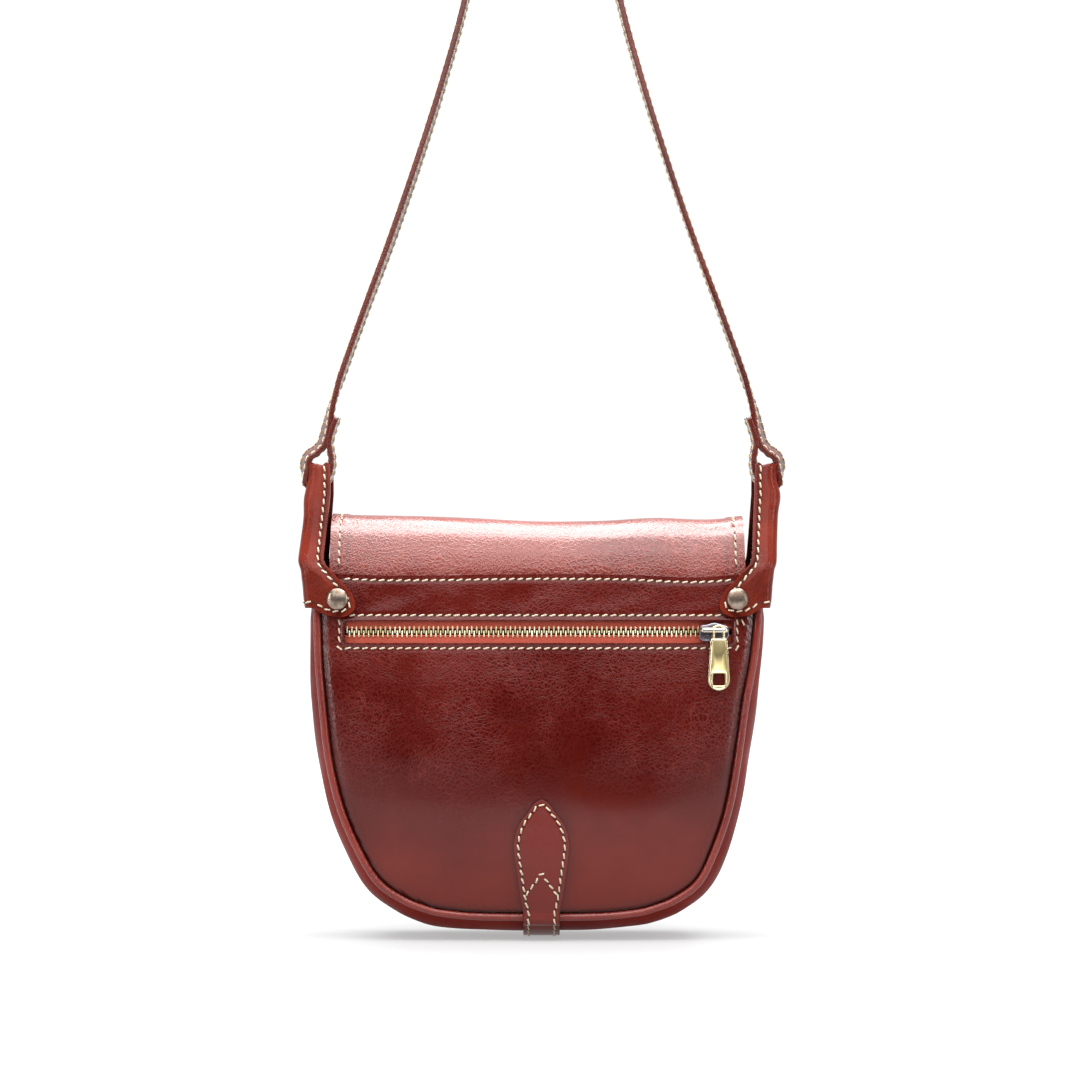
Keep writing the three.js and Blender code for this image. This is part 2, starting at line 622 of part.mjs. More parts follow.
function sliderGeometry() {
  const half = SLIDER_LENGTH / 2;
  const rise = SLIDER_HEIGHT / 2;
  const crown = new THREE.Shape([
    new THREE.Vector2(-half, -0.66 * rise), new THREE.Vector2(-0.8 * half, -rise),
    new THREE.Vector2(0.6 * half, -rise), new THREE.Vector2(half, -0.5 * rise),
    new THREE.Vector2(half, 0.5 * rise), new THREE.Vector2(0.6 * half, 0.8 * rise),
    new THREE.Vector2(0.05 * half, rise), new THREE.Vector2(-0.8 * half, 0.75 * rise),
    new THREE.Vector2(-half, 0.6 * rise),
  ]);
  const plate = plateXZ(crown, SLIDER_PLATE, SLIDER_FACE + SLIDER_PLATE / 2);
  plate.translate(SLIDER_CENTRE, 0, ZIP_HEIGHT);
  const coreDepth = SLIDER_PLATE + TAPE_GAP + TOOTH_THICKNESS;
  const core = block(
    SLIDER_LENGTH, coreDepth, 2 * (TOOTH_SWING + TOOTH_RAIL),
    SLIDER_CENTRE, SLIDER_FACE + coreDepth / 2 + SLIDER_PLATE / 2, ZIP_HEIGHT,
  );
  const bar = new THREE.CylinderGeometry(BAIL_RADIUS, BAIL_RADIUS, BAIL_LENGTH, 8);
  bar.rotateZ(Math.PI / 2).translate(SLIDER_CENTRE, PULL_AXIS.y, PULL_AXIS.z);
  let solid = toSolid(plate).add(toSolid(core)).add(toSolid(bar));
  for (const end of [-1, 1]) {
    const leg = block(
      2 * BAIL_RADIUS, BAIL_STANDOFF + BAIL_RADIUS + SLIDER_PLATE / 2, 2 * BAIL_RADIUS,
      SLIDER_CENTRE + end * (BAIL_LENGTH / 2 - BAIL_RADIUS),
      SLIDER_FACE - (BAIL_STANDOFF + BAIL_RADIUS - SLIDER_PLATE / 2) / 2, PULL_AXIS.z,
    );
    solid = solid.add(toSolid(leg));
  }
  return toGeometry(solid);
}

// Pull about its own axis: an eye with two bored cheeks on the bail, and a plate with a square hole.
function pullGeometry() {
  const top = PULL_TOP_WIDTH / 2;
  const end = PULL_END_WIDTH / 2;
  const neck = EYE_WIDTH / 2;
  const low = -PULL_LENGTH + EYE_RISE + EYE_WIRE;
  const outline = new THREE.Shape([
    new THREE.Vector2(-neck, -EYE_DROP + EYE_WIRE),
    new THREE.Vector2(-top, -EYE_DROP),
    ...arc(0, low + end, end, end, Math.PI, 2 * Math.PI, 8),
    new THREE.Vector2(top, -EYE_DROP),
    new THREE.Vector2(neck, -EYE_DROP + EYE_WIRE),
    ...arc(0, EYE_RISE + EYE_WIRE - 0.5 * neck, neck, 0.5 * neck, 0, Math.PI, 8),
  ]);
  const eye = new THREE.Shape([
    new THREE.Vector2(-neck + EYE_WIRE, -EYE_DROP + EYE_WIRE),
    new THREE.Vector2(neck - EYE_WIRE, -EYE_DROP + EYE_WIRE),
    ...arc(0, EYE_RISE - 0.4 * neck, neck - EYE_WIRE, 0.4 * neck, 0, Math.PI, 8),
  ]);
  const hole = block(PULL_HOLE, 2 * PULL_THICKNESS, PULL_HOLE, 0, 0, low + end);
  let solid = toSolid(plateXZ(outline, PULL_THICKNESS, 0));
  solid = solid.subtract(toSolid(plateXZ(eye, 2 * PULL_THICKNESS, 0))).subtract(toSolid(hole));
  const bore = BAIL_RADIUS + GAP;
  for (const side of [-1, 1]) {
    const cheek = new THREE.CylinderGeometry(bore + EYE_WIRE, bore + EYE_WIRE, EYE_WIRE, 12);
    cheek.rotateZ(Math.PI / 2).translate(side * (neck - EYE_WIRE / 2), 0, 0);
    solid = solid.add(toSolid(cheek));
  }
  const drill = new THREE.CylinderGeometry(bore, bore, 2 * PULL_TOP_WIDTH, 12).rotateZ(Math.PI / 2);
  return toGeometry(solid.subtract(toSolid(drill)));
}

// The tab's inner face from tip to rounded front end, as rows of depth, height and half width.
function tabRows() {
  const seamBottom = SEAM_BASE - PIPING_OFFSET;
  const wrap = PIPING_RADIUS + GAP;
  const backHeight = TAB_TIP - seamBottom;
  const rows = TAB_BACK.map((row) => {
    const height = TAB_TIP - row.drop * backHeight;
    const face = HALF_DEPTH + WALL + bulge(0, height) + GAP;
    const past = HALF_DEPTH + PIPING_PROUD + wrap;
    return {
      depth: -Math.max(face, past), height, half: row.half * TAB_HALF_WIDTH,
    };
  });
  const neck = TAB_BACK[TAB_BACK.length - 1].half * TAB_HALF_WIDTH;
  const roundPiping = (face, angle) => rows.push({
    depth: face * (HALF_DEPTH + PIPING_PROUD + wrap * Math.cos(angle)),
    height: seamBottom - wrap * Math.sin(angle),
    half: neck,
  });
  roundPiping(-1, Math.PI * 0.12);
  roundPiping(-1, Math.PI * 0.3);
  for (const across of [-0.8, -0.6, -0.4, -0.2, 0, 0.2, 0.4, 0.6, 0.8]) {
    const height = SEAM_BASE - GUSSET_PUFF * (1 - across ** 2) - GAP;
    rows.push({ depth: across * HALF_DEPTH, height: Math.min(height, seamBottom - wrap), half: neck });
  }
  roundPiping(1, Math.PI * 0.3);
  roundPiping(1, Math.PI * 0.12);
  const hem = flapRows[flapRows.length - 1];
  rows.push({ depth: hem.depth + GAP * 2, height: hem.height - GAP * 2, half: neck });
  for (const row of TAB_FRONT) {
    const height = lerp(hem.height, TAB_FRONT_TOP, row.rise);
    rows.push({ depth: flapFront(height) + GAP, height, half: row.half * TAB_HALF_WIDTH });
  }
  return rows;
}

function tabGeometry() {
  const columns = 4;
  const rows = tabRows();
  const grid = (lift) => rows.map((row, index) => {
    const before = rows[Math.max(index - 1, 0)];
    const after = rows[Math.min(index + 1, rows.length - 1)];
    const run = new THREE.Vector2(after.depth - before.depth, after.height - before.height);
    run.normalize();
    return Array.from({ length: columns + 1 }, (_, column) => new THREE.Vector3(
      TAB_CENTRE + row.half * (2 * column / columns - 1),
      row.depth + run.y * lift,
      row.height - run.x * lift,
    ));
  });
  return sheet(grid(0), grid(TAB_THICKNESS));
}

// Middle line of the strap in the XZ plane, measured from the middle of the ears.
function strapLine() {
  const leg = HALF_WIDTH * EAR[EAR.length - 1].wall + GAP + STRAP_THICKNESS / 2;
  const archRadius = STRAP_ARCH_RADIUS + STRAP_THICKNESS / 2;
  const archHeight = HANG_HEIGHT - STRAP_ARCH_RADIUS;
  const side = [...LOOP].reverse().map((row) => [
    leg - row.across * LOOP_WIDTH, SLOT_CENTRE - 1 + row.rise * LOOP_HEIGHT,
  ]);
  for (const row of STRAND) {
    side.push([row.spread * leg, lerp(EAR_TOP, archHeight, row.rise)]);
  }
  for (let step = 0; step < 4; step += 1) {
    const angle = Math.PI / 2 * step / 4;
    side.push([archRadius * Math.cos(angle), archHeight + archRadius * Math.sin(angle)]);
  }
  const crown = [[0, archHeight + archRadius]];
  const other = side.map(([x, z]) => [-x, z]).reverse();
  const points = [...side, ...crown, ...other].map(([x, z]) => new THREE.Vector3(x, z, 0));
  return new THREE.CatmullRomCurve3(points, false, 'centripetal').getPoints(2 * points.length - 2);
}

function strapGeometry() {
  const line = strapLine();
  const edge = (lift) => line.map((point, index) => {
    const before = line[Math.max(index - 1, 0)];
    const after = line[Math.min(index + 1, line.length - 1)];
    const run = new THREE.Vector2(after.x - before.x, after.y - before.y).normalize();
    return new THREE.Vector2(point.x - run.y * lift, point.y + run.x * lift);
  });
  const half = STRAP_THICKNESS / 2;
  const outline = new THREE.Shape([...edge(half), ...edge(-half).reverse()]);
  return plateXZ(outline, STRAP_WIDTH, 0).translate(TOP_LEAN, 0, 0);
}

const bag = new THREE.Group();
bag.add(named('back_panel', backPanelGeometry(), LEATHER));
bag.add(named('front_panel', panelGeometry(1), LEATHER_DARK));
bag.add(named('gusset', gussetGeometry(), LEATHER_DARK));
bag.add(named('back_piping', pipingGeometry(-1), LEATHER_DARK));
bag.add(named('front_piping', pipingGeometry(1), LEATHER_DARK));
bag.add(named('flap', flapGeometry(), LEATHER));
bag.add(named('bottom_tab', tabGeometry(), LEATHER));
bag.add(named('shoulder_strap', strapGeometry(), LEATHER_DARK));

for (const [end, side] of [['left', -1], ['right', 1]]) {
  bag.add(named(`ear_${end}`, earGeometry(side), LEATHER_TAN));
  bag.add(rivet(`rivet_back_${end}`, side, -1));
  bag.add(rivet(`rivet_front_${end}`, side, 1));
}

const railTop = GAP + TOOTH_SWING + TOOTH_RAIL + GAP;
const tapeTop = WINDOW_HALF_HEIGHT + TAPE_OVERLAP;
const upperTape = tapeGeometry(ZIP_HEIGHT + railTop, ZIP_HEIGHT + tapeTop);
const lowerTape = tapeGeometry(ZIP_HEIGHT - tapeTop, ZIP_HEIGHT - railTop);
bag.add(named('zip_tape_upper', upperTape, TAPE));
bag.add(named('zip_tape_lower', lowerTape, TAPE));
bag.add(named('zip_teeth_upper', teethGeometry(1), BRASS));
bag.add(named('zip_teeth_lower', teethGeometry(-1), BRASS));
bag.add(named('zip_slider', sliderGeometry(), GUNMETAL));
const pull = named('zip_pull', pullGeometry(), BRASS);
pull.position.copy(PULL_AXIS);
bag.add(pull);

const stud = named('tab_stud', domeGeometry(STUD_RADIUS, STUD_RISE), ANTIQUE);
stud.rotation.x = -Math.PI / 2;
stud.position.set(TAB_CENTRE, flapFront(STUD_HEIGHT) + TAB_THICKNESS + 2 * GAP, STUD_HEIGHT);
bag.add(stud);

bag.position.set(-TOP_LEAN, 0, -HANG_HEIGHT);
const part = new THREE.Group();
part.add(bag);

export default part;
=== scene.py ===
"""Looks of the saddle-shaped crossbody bag: glazed leather, thread, zip and antique metal.

Sizes are millimetres in the bag's own measure: x to the right as seen from behind, y away from the
back face, height from the underside of the tab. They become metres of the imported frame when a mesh
is made.
"""

import bpy
import numpy as np
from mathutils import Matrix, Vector


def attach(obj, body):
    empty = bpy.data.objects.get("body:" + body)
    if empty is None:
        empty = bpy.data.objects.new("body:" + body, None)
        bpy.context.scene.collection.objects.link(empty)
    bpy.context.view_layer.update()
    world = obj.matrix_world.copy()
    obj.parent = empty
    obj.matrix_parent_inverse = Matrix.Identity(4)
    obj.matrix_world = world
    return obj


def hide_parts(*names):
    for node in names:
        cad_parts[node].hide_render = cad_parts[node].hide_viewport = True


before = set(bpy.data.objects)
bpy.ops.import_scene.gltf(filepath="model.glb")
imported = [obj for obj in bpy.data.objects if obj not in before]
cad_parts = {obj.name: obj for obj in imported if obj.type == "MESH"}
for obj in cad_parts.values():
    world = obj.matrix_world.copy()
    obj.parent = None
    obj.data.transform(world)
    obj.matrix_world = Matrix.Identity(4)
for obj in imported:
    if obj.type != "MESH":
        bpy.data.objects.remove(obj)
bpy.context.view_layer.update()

MILLIMETRE = 0.001
BAG_IN_FRAME = np.array([-2.5, 0.0, -717.5])
SEAT_GAP = 0.3

# Body
HALF_WIDTH = 113.5
HALF_DEPTH = 23.0
SEAM_BASE = 13.5
PANEL_TOP = 180.0
WALL = 2.0
PANEL_BULGE = 7.5
GUSSET_PUFF = 11.0
PIPING_RADIUS = 1.7
PIPING_OFFSET = 2.1
PIPING_DEPTH = 23.6

# Zip
ZIP_HEIGHT = 152.2
WINDOW_HALF_LENGTH = 95.4
WINDOW_HALF_HEIGHT = 5.4
WINDOW_CENTRE = 0.4
WINDOW_CORNER = 1.6
TOOTH_PITCH = 2.37
SLIDER_CENTRE = 87.0

# Ears, flap, tab and strap
EAR_TOP = 237.5
LOBE_BASE = 159.6
EAR_FACE = 27.6
EAR_TOP_HALF_DEPTH = 14.0
TOP_LEAN = 2.5
CREASE_HEIGHT = 187.5
SLOT_CENTRE = 224.5
SLOT_HALF_HEIGHT = 3.9
RIVET_SIDE = 98.5
RIVET_HEIGHT = 168.5
RIVET_RADIUS = 5.3
FLAP_TOP = 208.3
FLAP_HALF_WIDTH = 104.5
FLAP_STAND = 13.8
FLAP_CROWN = 1.0
TAB_CENTRE = 2.0
TAB_TIP = 70.5
TAB_HALF_WIDTH = 13.9
TAB_THICKNESS = 2.2
STUD_HEIGHT = 60.0
STRAP_WIDTH = 20.0
STRAP_THICKNESS = 2.6
STRAP_DROP = 480.0
STRAP_ARCH_RADIUS = 15.0
LOOP_WIDTH = 13.1
LOOP_HEIGHT = 23.5

# Thread, and how far its lines lie inside the edges
STITCH_PITCH = 4.25
STITCH_LENGTH = 3.15
STITCH_SLANT = 0.24
LOWER_STITCHES = 160.4
WINDOW_STITCHES = 2.6
TOP_STITCHES = 2.4
EAR_STITCH_INSET = 2.9
FLAP_HEM_FOLD = 9.0
FLAP_STITCH_INSET = 4.6
TAB_STITCH_INSET = 2.6
STRAP_STITCH_INSET = 2.4
THREAD_RADIUS = 0.42


def table(names, rows):
    """Named columns of a table of rows, each as an array."""
    return dict(zip(names.split(), np.array(rows, float).T))


# Half of the seam between panel and gusset, from the middle of the base up.
# side: share of HALF_WIDTH; rise: share of the seam's height; puff: share of GUSSET_PUFF;
# lean: how far both halves sit to the right, as a share of HALF_WIDTH.
SEAM = table("side rise puff lean", [
    (0, 0, 1, 0), (0.264, 0.002, 1, 0), (0.423, 0.0126, 1, 0.004), (0.493, 0.0246, 1, 0.006),
    (0.581, 0.0487, 0.98, 0.008), (0.683, 0.099, 0.95, 0.004), (0.758, 0.189, 0.91, -0.004),
    (0.825, 0.308, 0.83, -0.012), (0.871, 0.453, 0.8, -0.018), (0.904, 0.628, 0.8, -0.015),
    (0.928, 0.748, 0.68, -0.006), (0.94, 0.865, 0.6, 0), (0.942, 0.904, 0.52, 0),
    (0.943, 0.952, 0.55, 0), (0.9445, 1, 0.58, 0),
])

# How far the panels stand out, from base to top.
SWELL = table("rise swell", [
    (0, 0), (0.08, 0.45), (0.2, 0.8), (0.4, 1), (0.6, 0.92), (0.8, 0.64), (1, 0.36),
])

# How far the panel's top edge and the flap's ridge wander from their height. x: share of their half width.
TOP_EDGE = table("x lift", [
    (-1, 1.6), (-0.65, 0), (0, 0.7), (0.38, 0.4), (0.68, -0.9), (0.95, 1.0),
])
RIDGE = table("x lift", [
    (-1, 1.6), (-0.66, 0.8), (-0.32, 0.0), (0.04, -1.3), (0.3, -1.2), (0.55, -0.2), (0.8, -1.0), (1, 0.6),
])

# Ear sections from lobe to bridge: heights of flange edge and outer wall as shares of the ear's
# height, reach and wall as shares of HALF_WIDTH, narrow from body depth to the depth of the top.
EAR = table("edge side reach wall narrow", [
    (0, 0.056, 0.875, 1.013, 0), (0.004, 0.076, 0.835, 1.015, 0), (0.041, 0.108, 0.796, 1.018, 0),
    (0.099, 0.146, 0.792, 1.02, 0), (0.163, 0.191, 0.814, 1.022, 0), (0.23, 0.243, 0.857, 1.026, 0),
    (0.297, 0.294, 0.897, 1.03, 0.03), (0.358, 0.358, 0.928, 1.042, 0.14),
    (0.487, 0.487, 0.93, 1.04, 0.44), (0.634, 0.634, 0.928, 1.037, 0.7),
    (0.76, 0.76, 0.927, 1.043, 0.86), (0.88, 0.88, 0.927, 1.029, 0.95), (1, 1, 0.93, 1.029, 1),
])

# Flap sections from the hem behind the back panel, over the top and down the front.
FLAP = table("run stand height follow half", [
    (-1, 0, 0.811, 1, 0.985), (-1, 0, 0.864, 1, 0.985), (-0.99, 0, 0.89, 0.95, 0.982),
    (-0.95, 0, 0.927, 0.75, 0.98), (-0.82, 0, 0.965, 0.4, 0.978), (-0.56, 0, 0.991, 0.12, 0.976),
    (-0.18, 0, 1, 0, 0.976), (0.3, 0, 0.999, 0, 0.976), (0.75, 0.08, 0.986, 0, 0.978),
    (1, 0.4, 0.957, 0, 0.98), (1, 0.7, 0.92, 0, 0.985), (1, 0.88, 0.866, 0, 0.995),
    (1, 0.95, 0.79, 0, 1), (1, 0.98, 0.672, 0, 0.995), (1, 1, 0.53, 0, 0.97),
    (1, 0.985, 0.41, 0, 0.928), (1, 0.93, 0.29, 0, 0.856), (1, 0.84, 0.205, 0, 0.76),
    (1, 0.76, 0.158, 0, 0.64), (1, 0.72, 0.134, 0, 0.5), (1, 0.7, 0.125, 0, 0.34),
])

# Tab from its pointed tip down its back, and from the flap's hem up its front.
TAB_BACK = table("drop half", [
    (0, 0.03), (0.03, 0.25), (0.1, 0.47), (0.21, 0.81), (0.34, 0.99), (0.43, 1), (0.62, 0.89),
    (0.83, 0.76), (0.95, 0.65),
])
TAB_FRONT = table("rise half", [
    (0.04, 0.64), (0.2, 0.7), (0.45, 0.8), (0.7, 0.86), (0.88, 0.72), (0.97, 0.42), (1, 0.06),
])

# One strand of the strap and the end loop that it makes round the ear's bridge.
STRAND = table("rise spread", [
    (0.0645, 0.882), (0.1505, 0.764), (0.2366, 0.6385), (0.3226, 0.523), (0.4086, 0.417),
    (0.4946, 0.325), (0.629, 0.2155), (0.7796, 0.1565), (0.914, 0.1395),
])
LOOP = table("across rise", [
    (0.672, 1), (0.412, 0.808), (0.137, 0.7), (0, 0.553), (0, 0.234), (0.038, 0.081),
    (0.26, -0.008), (0.565, 0.02), (0.847, 0.183), (1, 0.426), (0.992, 0.702), (0.916, 0.957),
    (1.046, 1.255), (1.198, 1.49),
])


def smooth(at, keys, values):
    """Smooth curve through rows: in each span a cubic whose end slopes are those between the
    neighbouring rows, held level past both ends."""
    rise = np.empty(len(keys))
    rise[1:-1] = (values[2:] - values[:-2]) / (keys[2:] - keys[:-2])
    rise[0] = (values[1] - values[0]) / (keys[1] - keys[0])
    rise[-1] = (values[-1] - values[-2]) / (keys[-1] - keys[-2])
    at = np.clip(at, keys[0], keys[-1])
    row = np.clip(np.searchsorted(keys, at, side="right") - 1, 0, len(keys) - 2)
    span = keys[row + 1] - keys[row]
    t = (at - keys[row]) / span
    return (
        (2 * t**3 - 3 * t**2 + 1) * values[row] + (t**3 - 2 * t**2 + t) * span * rise[row]
        + (3 * t**2 - 2 * t**3) * values[row + 1] + (t**3 - t**2) * span * rise[row + 1]
    )


def run_along(points):
    """Length along a line of places, from its start to each of them."""
    return np.r_[0, np.cumsum(np.linalg.norm(np.diff(points, axis=0), axis=1))]


def at_lengths(run, value, where):
    """Columns of value at lengths along a line whose own lengths are run."""
    return np.stack([np.interp(where, run, column) for column in value.T], axis=1)


def spread(points, count):
    """Places at equal steps of length along a smooth line through points: each coordinate is a
    smooth curve of the root of the chord length, measured on a fine copy."""
    chord = np.linalg.norm(np.diff(points[:, :2], axis=0), axis=1) ** 0.5
    keys = np.r_[0, np.cumsum(chord)]
    fine = np.linspace(0, keys[-1], 40 * len(points))
    line = np.stack([smooth(fine, keys, column) for column in points.T], axis=1)
    run = run_along(line[:, :2])
    return at_lengths(run, line, np.linspace(0, run[-1], count))


def unit(vectors):
    """Vectors shortened or stretched to length 1."""
    return vectors / np.maximum(np.linalg.norm(vectors, axis=-1, keepdims=True), 1e-9)


def slope(points):
    """Direction along a line of places, from each place's neighbours."""
    return unit(np.gradient(points, axis=0))


SEAM_HEIGHT = PANEL_TOP - SEAM_BASE
SEAM_HALF = np.stack([
    SEAM["side"] * HALF_WIDTH, SEAM_BASE + SEAM["rise"] * SEAM_HEIGHT, SEAM["puff"] * GUSSET_PUFF,
], axis=1)


def whole_seam(count):
    """The seam from the left top under the base to the right top: x, height and puff of each of
    2 * count - 1 stations, and the outward direction in x and height."""
    half = spread(SEAM_HALF, count)
    path = np.concatenate([half[:0:-1] * [-1, 1, 1], half])
    path[:, 0] += body_lean(path[:, 1])
    run = slope(path[:, :2])
    return path, np.stack([run[:, 1], -run[:, 0]], axis=1)


def seam_share(height):
    """Share of the seam's height that lies below a height."""
    return np.clip((height - SEAM_BASE) / SEAM_HEIGHT, 0, 1)


def side_at(height):
    """Half width of the panel at a height."""
    return smooth(seam_share(height), SEAM["rise"], SEAM["side"]) * HALF_WIDTH


def body_lean(height):
    """How far the body's middle sits to the right at a height."""
    return smooth(seam_share(height), SEAM["rise"], SEAM["lean"]) * HALF_WIDTH


def bulge(x, height):
    """How far a panel stands out of its seam plane: the swell at that height times a flat-topped
    hump across, 1 minus the fourth power of the share of the half width, to the power 0.75."""
    across = np.clip(np.abs(x - body_lean(height)) / np.maximum(side_at(height), 1), 0, 1)
    swell = smooth(seam_share(height), SWELL["rise"], SWELL["swell"])
    return PANEL_BULGE * swell * (1 - across**4) ** 0.75


def ripple(x, z, seed, reach, count=5):
    """Gentle unevenness between -1 and 1: the mean of a few sine waves with random directions and
    lengths between 0.7 and 1.6 times reach."""
    draw = np.random.default_rng(seed)
    turn, phase = draw.uniform(0, 2 * np.pi, (2, count))
    length = reach * draw.uniform(0.7, 1.6, count)
    wave = np.sin(
        2 * np.pi * (np.multiply.outer(x, np.cos(turn)) + np.multiply.outer(z, np.sin(turn))) / length
        + phase
    )
    return wave.mean(axis=-1)


def dip(distance, width):
    """Bell-shaped groove of depth 1 at distance 0."""
    return np.exp(-((distance / width) ** 2))


def crowded(count, pull):
    """Shares from -1 to 1 that lie closer near both ends: a sine of the even steps, mixed with the
    even steps by pull."""
    even = np.linspace(-1, 1, count)
    return np.sin(even * np.pi / 2) * pull + even * (1 - pull)


def new_mesh(name, places, polygons, looks):
    """Mesh with smooth faces from places in bag millimetres."""
    mesh = bpy.data.meshes.new(name)
    mesh.from_pydata(((places + BAG_IN_FRAME) * MILLIMETRE).tolist(), [], polygons)
    mesh.polygons.foreach_set("use_smooth", np.ones(len(polygons), bool))
    for look in looks:
        mesh.materials.append(look)
    return mesh


def set_out(mesh, body):
    """Object that shows a mesh and moves with a body."""
    mesh.update()
    piece = bpy.data.objects.new(mesh.name, mesh)
    bpy.context.scene.collection.objects.link(piece)
    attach(piece, body)
    return piece


def mesh_piece(name, places, faces, body, material, uv=None, slots=None, caps=(), painted_shade=None):
    """New object from places in bag millimetres and faces given by their corners. uv is one pair
    for each place, caps are end faces with any number of corners, and the last argument is how
    deep a painted shade darkens each place. Places that no face uses are left out."""
    faces = np.asarray(faces)
    used, again = np.unique(faces, return_inverse=True)
    faces = again.reshape(faces.shape)
    places = np.asarray(places, float)[used]
    caps = [np.searchsorted(used, cap).tolist() for cap in caps]
    looks = material if isinstance(material, list) else [material]
    mesh = new_mesh(name, places, faces.tolist() + caps, looks)
    if uv is not None:
        layer = mesh.uv_layers.new(name="surface")
        corners = np.concatenate([faces.ravel(), *map(np.array, caps)]) if caps else faces.ravel()
        layer.data.foreach_set("uv", np.asarray(uv, float)[used][corners].ravel())
    # Painted shade: how much each place is darkened towards the shade tone, laid in seams, grooves, folds
    # and edges.
    if painted_shade is not None:
        shaded = mesh.attributes.new("painted_shade", "FLOAT", "POINT")
        shaded.data.foreach_set("value", np.ravel(painted_shade)[used].astype(np.float32))
    if slots is not None:
        mesh.polygons.foreach_set("material_index", np.asarray(slots, np.int32))
    return set_out(mesh, body)


def end_caps(rows, columns):
    """The two end faces of a closed stack of rings."""
    around = np.arange(columns)
    return [around[::-1], (rows - 1) * columns + around]


def cells(rows, columns, round_rows=False, round_columns=False):
    """Corners of the four-sided cells of a grid, joined up round either way if asked."""
    row = np.arange(rows if round_rows else rows - 1)[:, None]
    column = np.arange(columns if round_columns else columns - 1)[None, :]
    next_row = (row + 1) % rows
    next_column = (column + 1) % columns
    corners = [
        row * columns + column, row * columns + next_column,
        next_row * columns + next_column, next_row * columns + column,
    ]
    return np.stack([np.broadcast_to(c, (row.size, column.size)) for c in corners], axis=-1)


def crease(piece, width, angle):
    """Small rounded edges on a piece, where its faces turn by more than an angle."""
    rounding = piece.modifiers.new("edge", "BEVEL")
    rounding.width = width * MILLIMETRE
    rounding.segments = 2
    rounding.limit_method = "ANGLE"
    rounding.angle_limit = np.radians(angle)
    rounding.harden_normals = True
    return piece


def skin(name, grid, material, uv=None, keep=None, flip=False, wall=WALL, edge=0.5, painted_shade=None):
    """Sheet of leather from the grid of its outer face: the cells in keep, given a wall behind
    the face and rounded edges."""
    faces = cells(*grid.shape[:2])
    if flip:
        faces = faces[..., ::-1]
    faces = faces.reshape(-1, 4) if keep is None else faces[keep]
    uv = None if uv is None else uv.reshape(-1, 2)
    if painted_shade is not None:
        painted_shade = np.broadcast_to(painted_shade, grid.shape[:2])
    piece = mesh_piece(name, grid.reshape(-1, 3), faces, "bag", material, uv, painted_shade=painted_shade)
    thick = piece.modifiers.new("wall", "SOLIDIFY")
    thick.thickness = wall * MILLIMETRE
    thick.offset = -1
    return crease(piece, edge, angle=50)


def tube(name, line, side, up, section, material, body="bag", scale=None):
    """Profile carried along a line: section gives the share along side and along up of each point
    of the profile, and both ends are closed flat. scale widens or narrows the profile along the
    way."""
    scale = np.ones(len(line)) if scale is None else scale
    spokes = section[None, :, :1] * side[:, None] + section[None, :, 1:] * up[:, None]
    grid = line[:, None] + spokes * scale[:, None, None]
    run = run_along(line)
    count = section.shape[0]
    faces = cells(len(grid), count, round_columns=True)
    uv = np.stack(np.broadcast_arrays(run[:, None], np.arange(count)[None] / count), axis=-1)
    caps = end_caps(len(grid), count)
    places, faces = grid.reshape(-1, 3), faces.reshape(-1, 4)
    return mesh_piece(name, places, faces, body, material, uv.reshape(-1, 2), caps=caps)


def many(name, shapes, faces, material, body="bag"):
    """One piece of a small shape repeated: shapes holds the places of every copy, and faces the
    corners within one copy."""
    count, size = shapes.shape[:2]
    every = faces[None] + (np.arange(count) * size)[:, None, None]
    return mesh_piece(name, shapes.reshape(-1, 3), every.reshape(-1, faces.shape[1]), body, material)


def ring(count, start=0.0):
    """Points of a unit circle."""
    angle = start + 2 * np.pi * np.arange(count) / count
    return np.stack([np.cos(angle), np.sin(angle)], axis=1)


def rounded_bar(width, height, corner, steps=3):
    """Outline of a bar with rounded corners, round its middle."""
    quarter = np.linspace(0, np.pi / 2, steps + 1)
    arc = np.stack([np.cos(quarter), np.sin(quarter)], axis=1) * corner
    centre = np.array([width / 2 - corner, height / 2 - corner])
    parts = [
        centre + arc,
        (centre + arc)[::-1] * [-1, 1],
        (centre + arc) * [-1, -1],
        (centre + arc)[::-1] * [1, -1],
    ]
    return np.concatenate(parts)


def add(look, kind, sockets=(), **settings):
    """New shader node, with its settings and its sockets, each linked or given a value."""
    node = look.node_tree.nodes.new("ShaderNode" + kind)
    for key, value in settings.items():
        setattr(node, key, value)
    for key, value in dict(sockets).items():
        if isinstance(value, bpy.types.NodeSocket):
            look.node_tree.links.new(value, node.inputs[key])
        else:
            node.inputs[key].default_value = value
    return node


def blend_colour(look, share, first, second):
    """Colour between two colours."""
    sockets = {0: share, 6: first, 7: second}
    return add(look, "Mix", sockets, data_type="RGBA").outputs[2]


def remap(look, value, low, high, to_low, to_high):
    """Value carried from one range to another by a soft step, held at the ends."""
    sockets = {"Value": value, "From Min": low, "From Max": high, "To Min": to_low, "To Max": to_high}
    return add(look, "MapRange", sockets, interpolation_type="SMOOTHSTEP").outputs["Result"]


def maths(look, operation, first, second):
    """Sum, product or other working on two numbers."""
    return add(look, "Math", {0: first, 1: second}, operation=operation).outputs[0]


def bare_look(name, roughness, metal=0.0, colour=(0.5, 0.5, 0.5, 1), **finish):
    """Material with one surface shader and the values that are the same all over it."""
    look = bpy.data.materials.new(name)
    look.use_nodes = True
    shader = look.node_tree.nodes["Principled BSDF"]
    shader.inputs["Base Color"].default_value = colour
    shader.inputs["Roughness"].default_value = roughness
    shader.inputs["Metallic"].default_value = metal
    for key, value in finish.items():
        shader.inputs[key.replace("_", " ")].default_value = value
    return look, shader


def join_to(look, value, shader, socket):
    """Links a value to a socket of the surface shader."""
    look.node_tree.links.new(value, shader.inputs[socket])


# Colour of the painted shade laid in seams, grooves, folds and edges.
PAINTED_SHADE_TONE = (0.010, 0.0016, 0.0012)


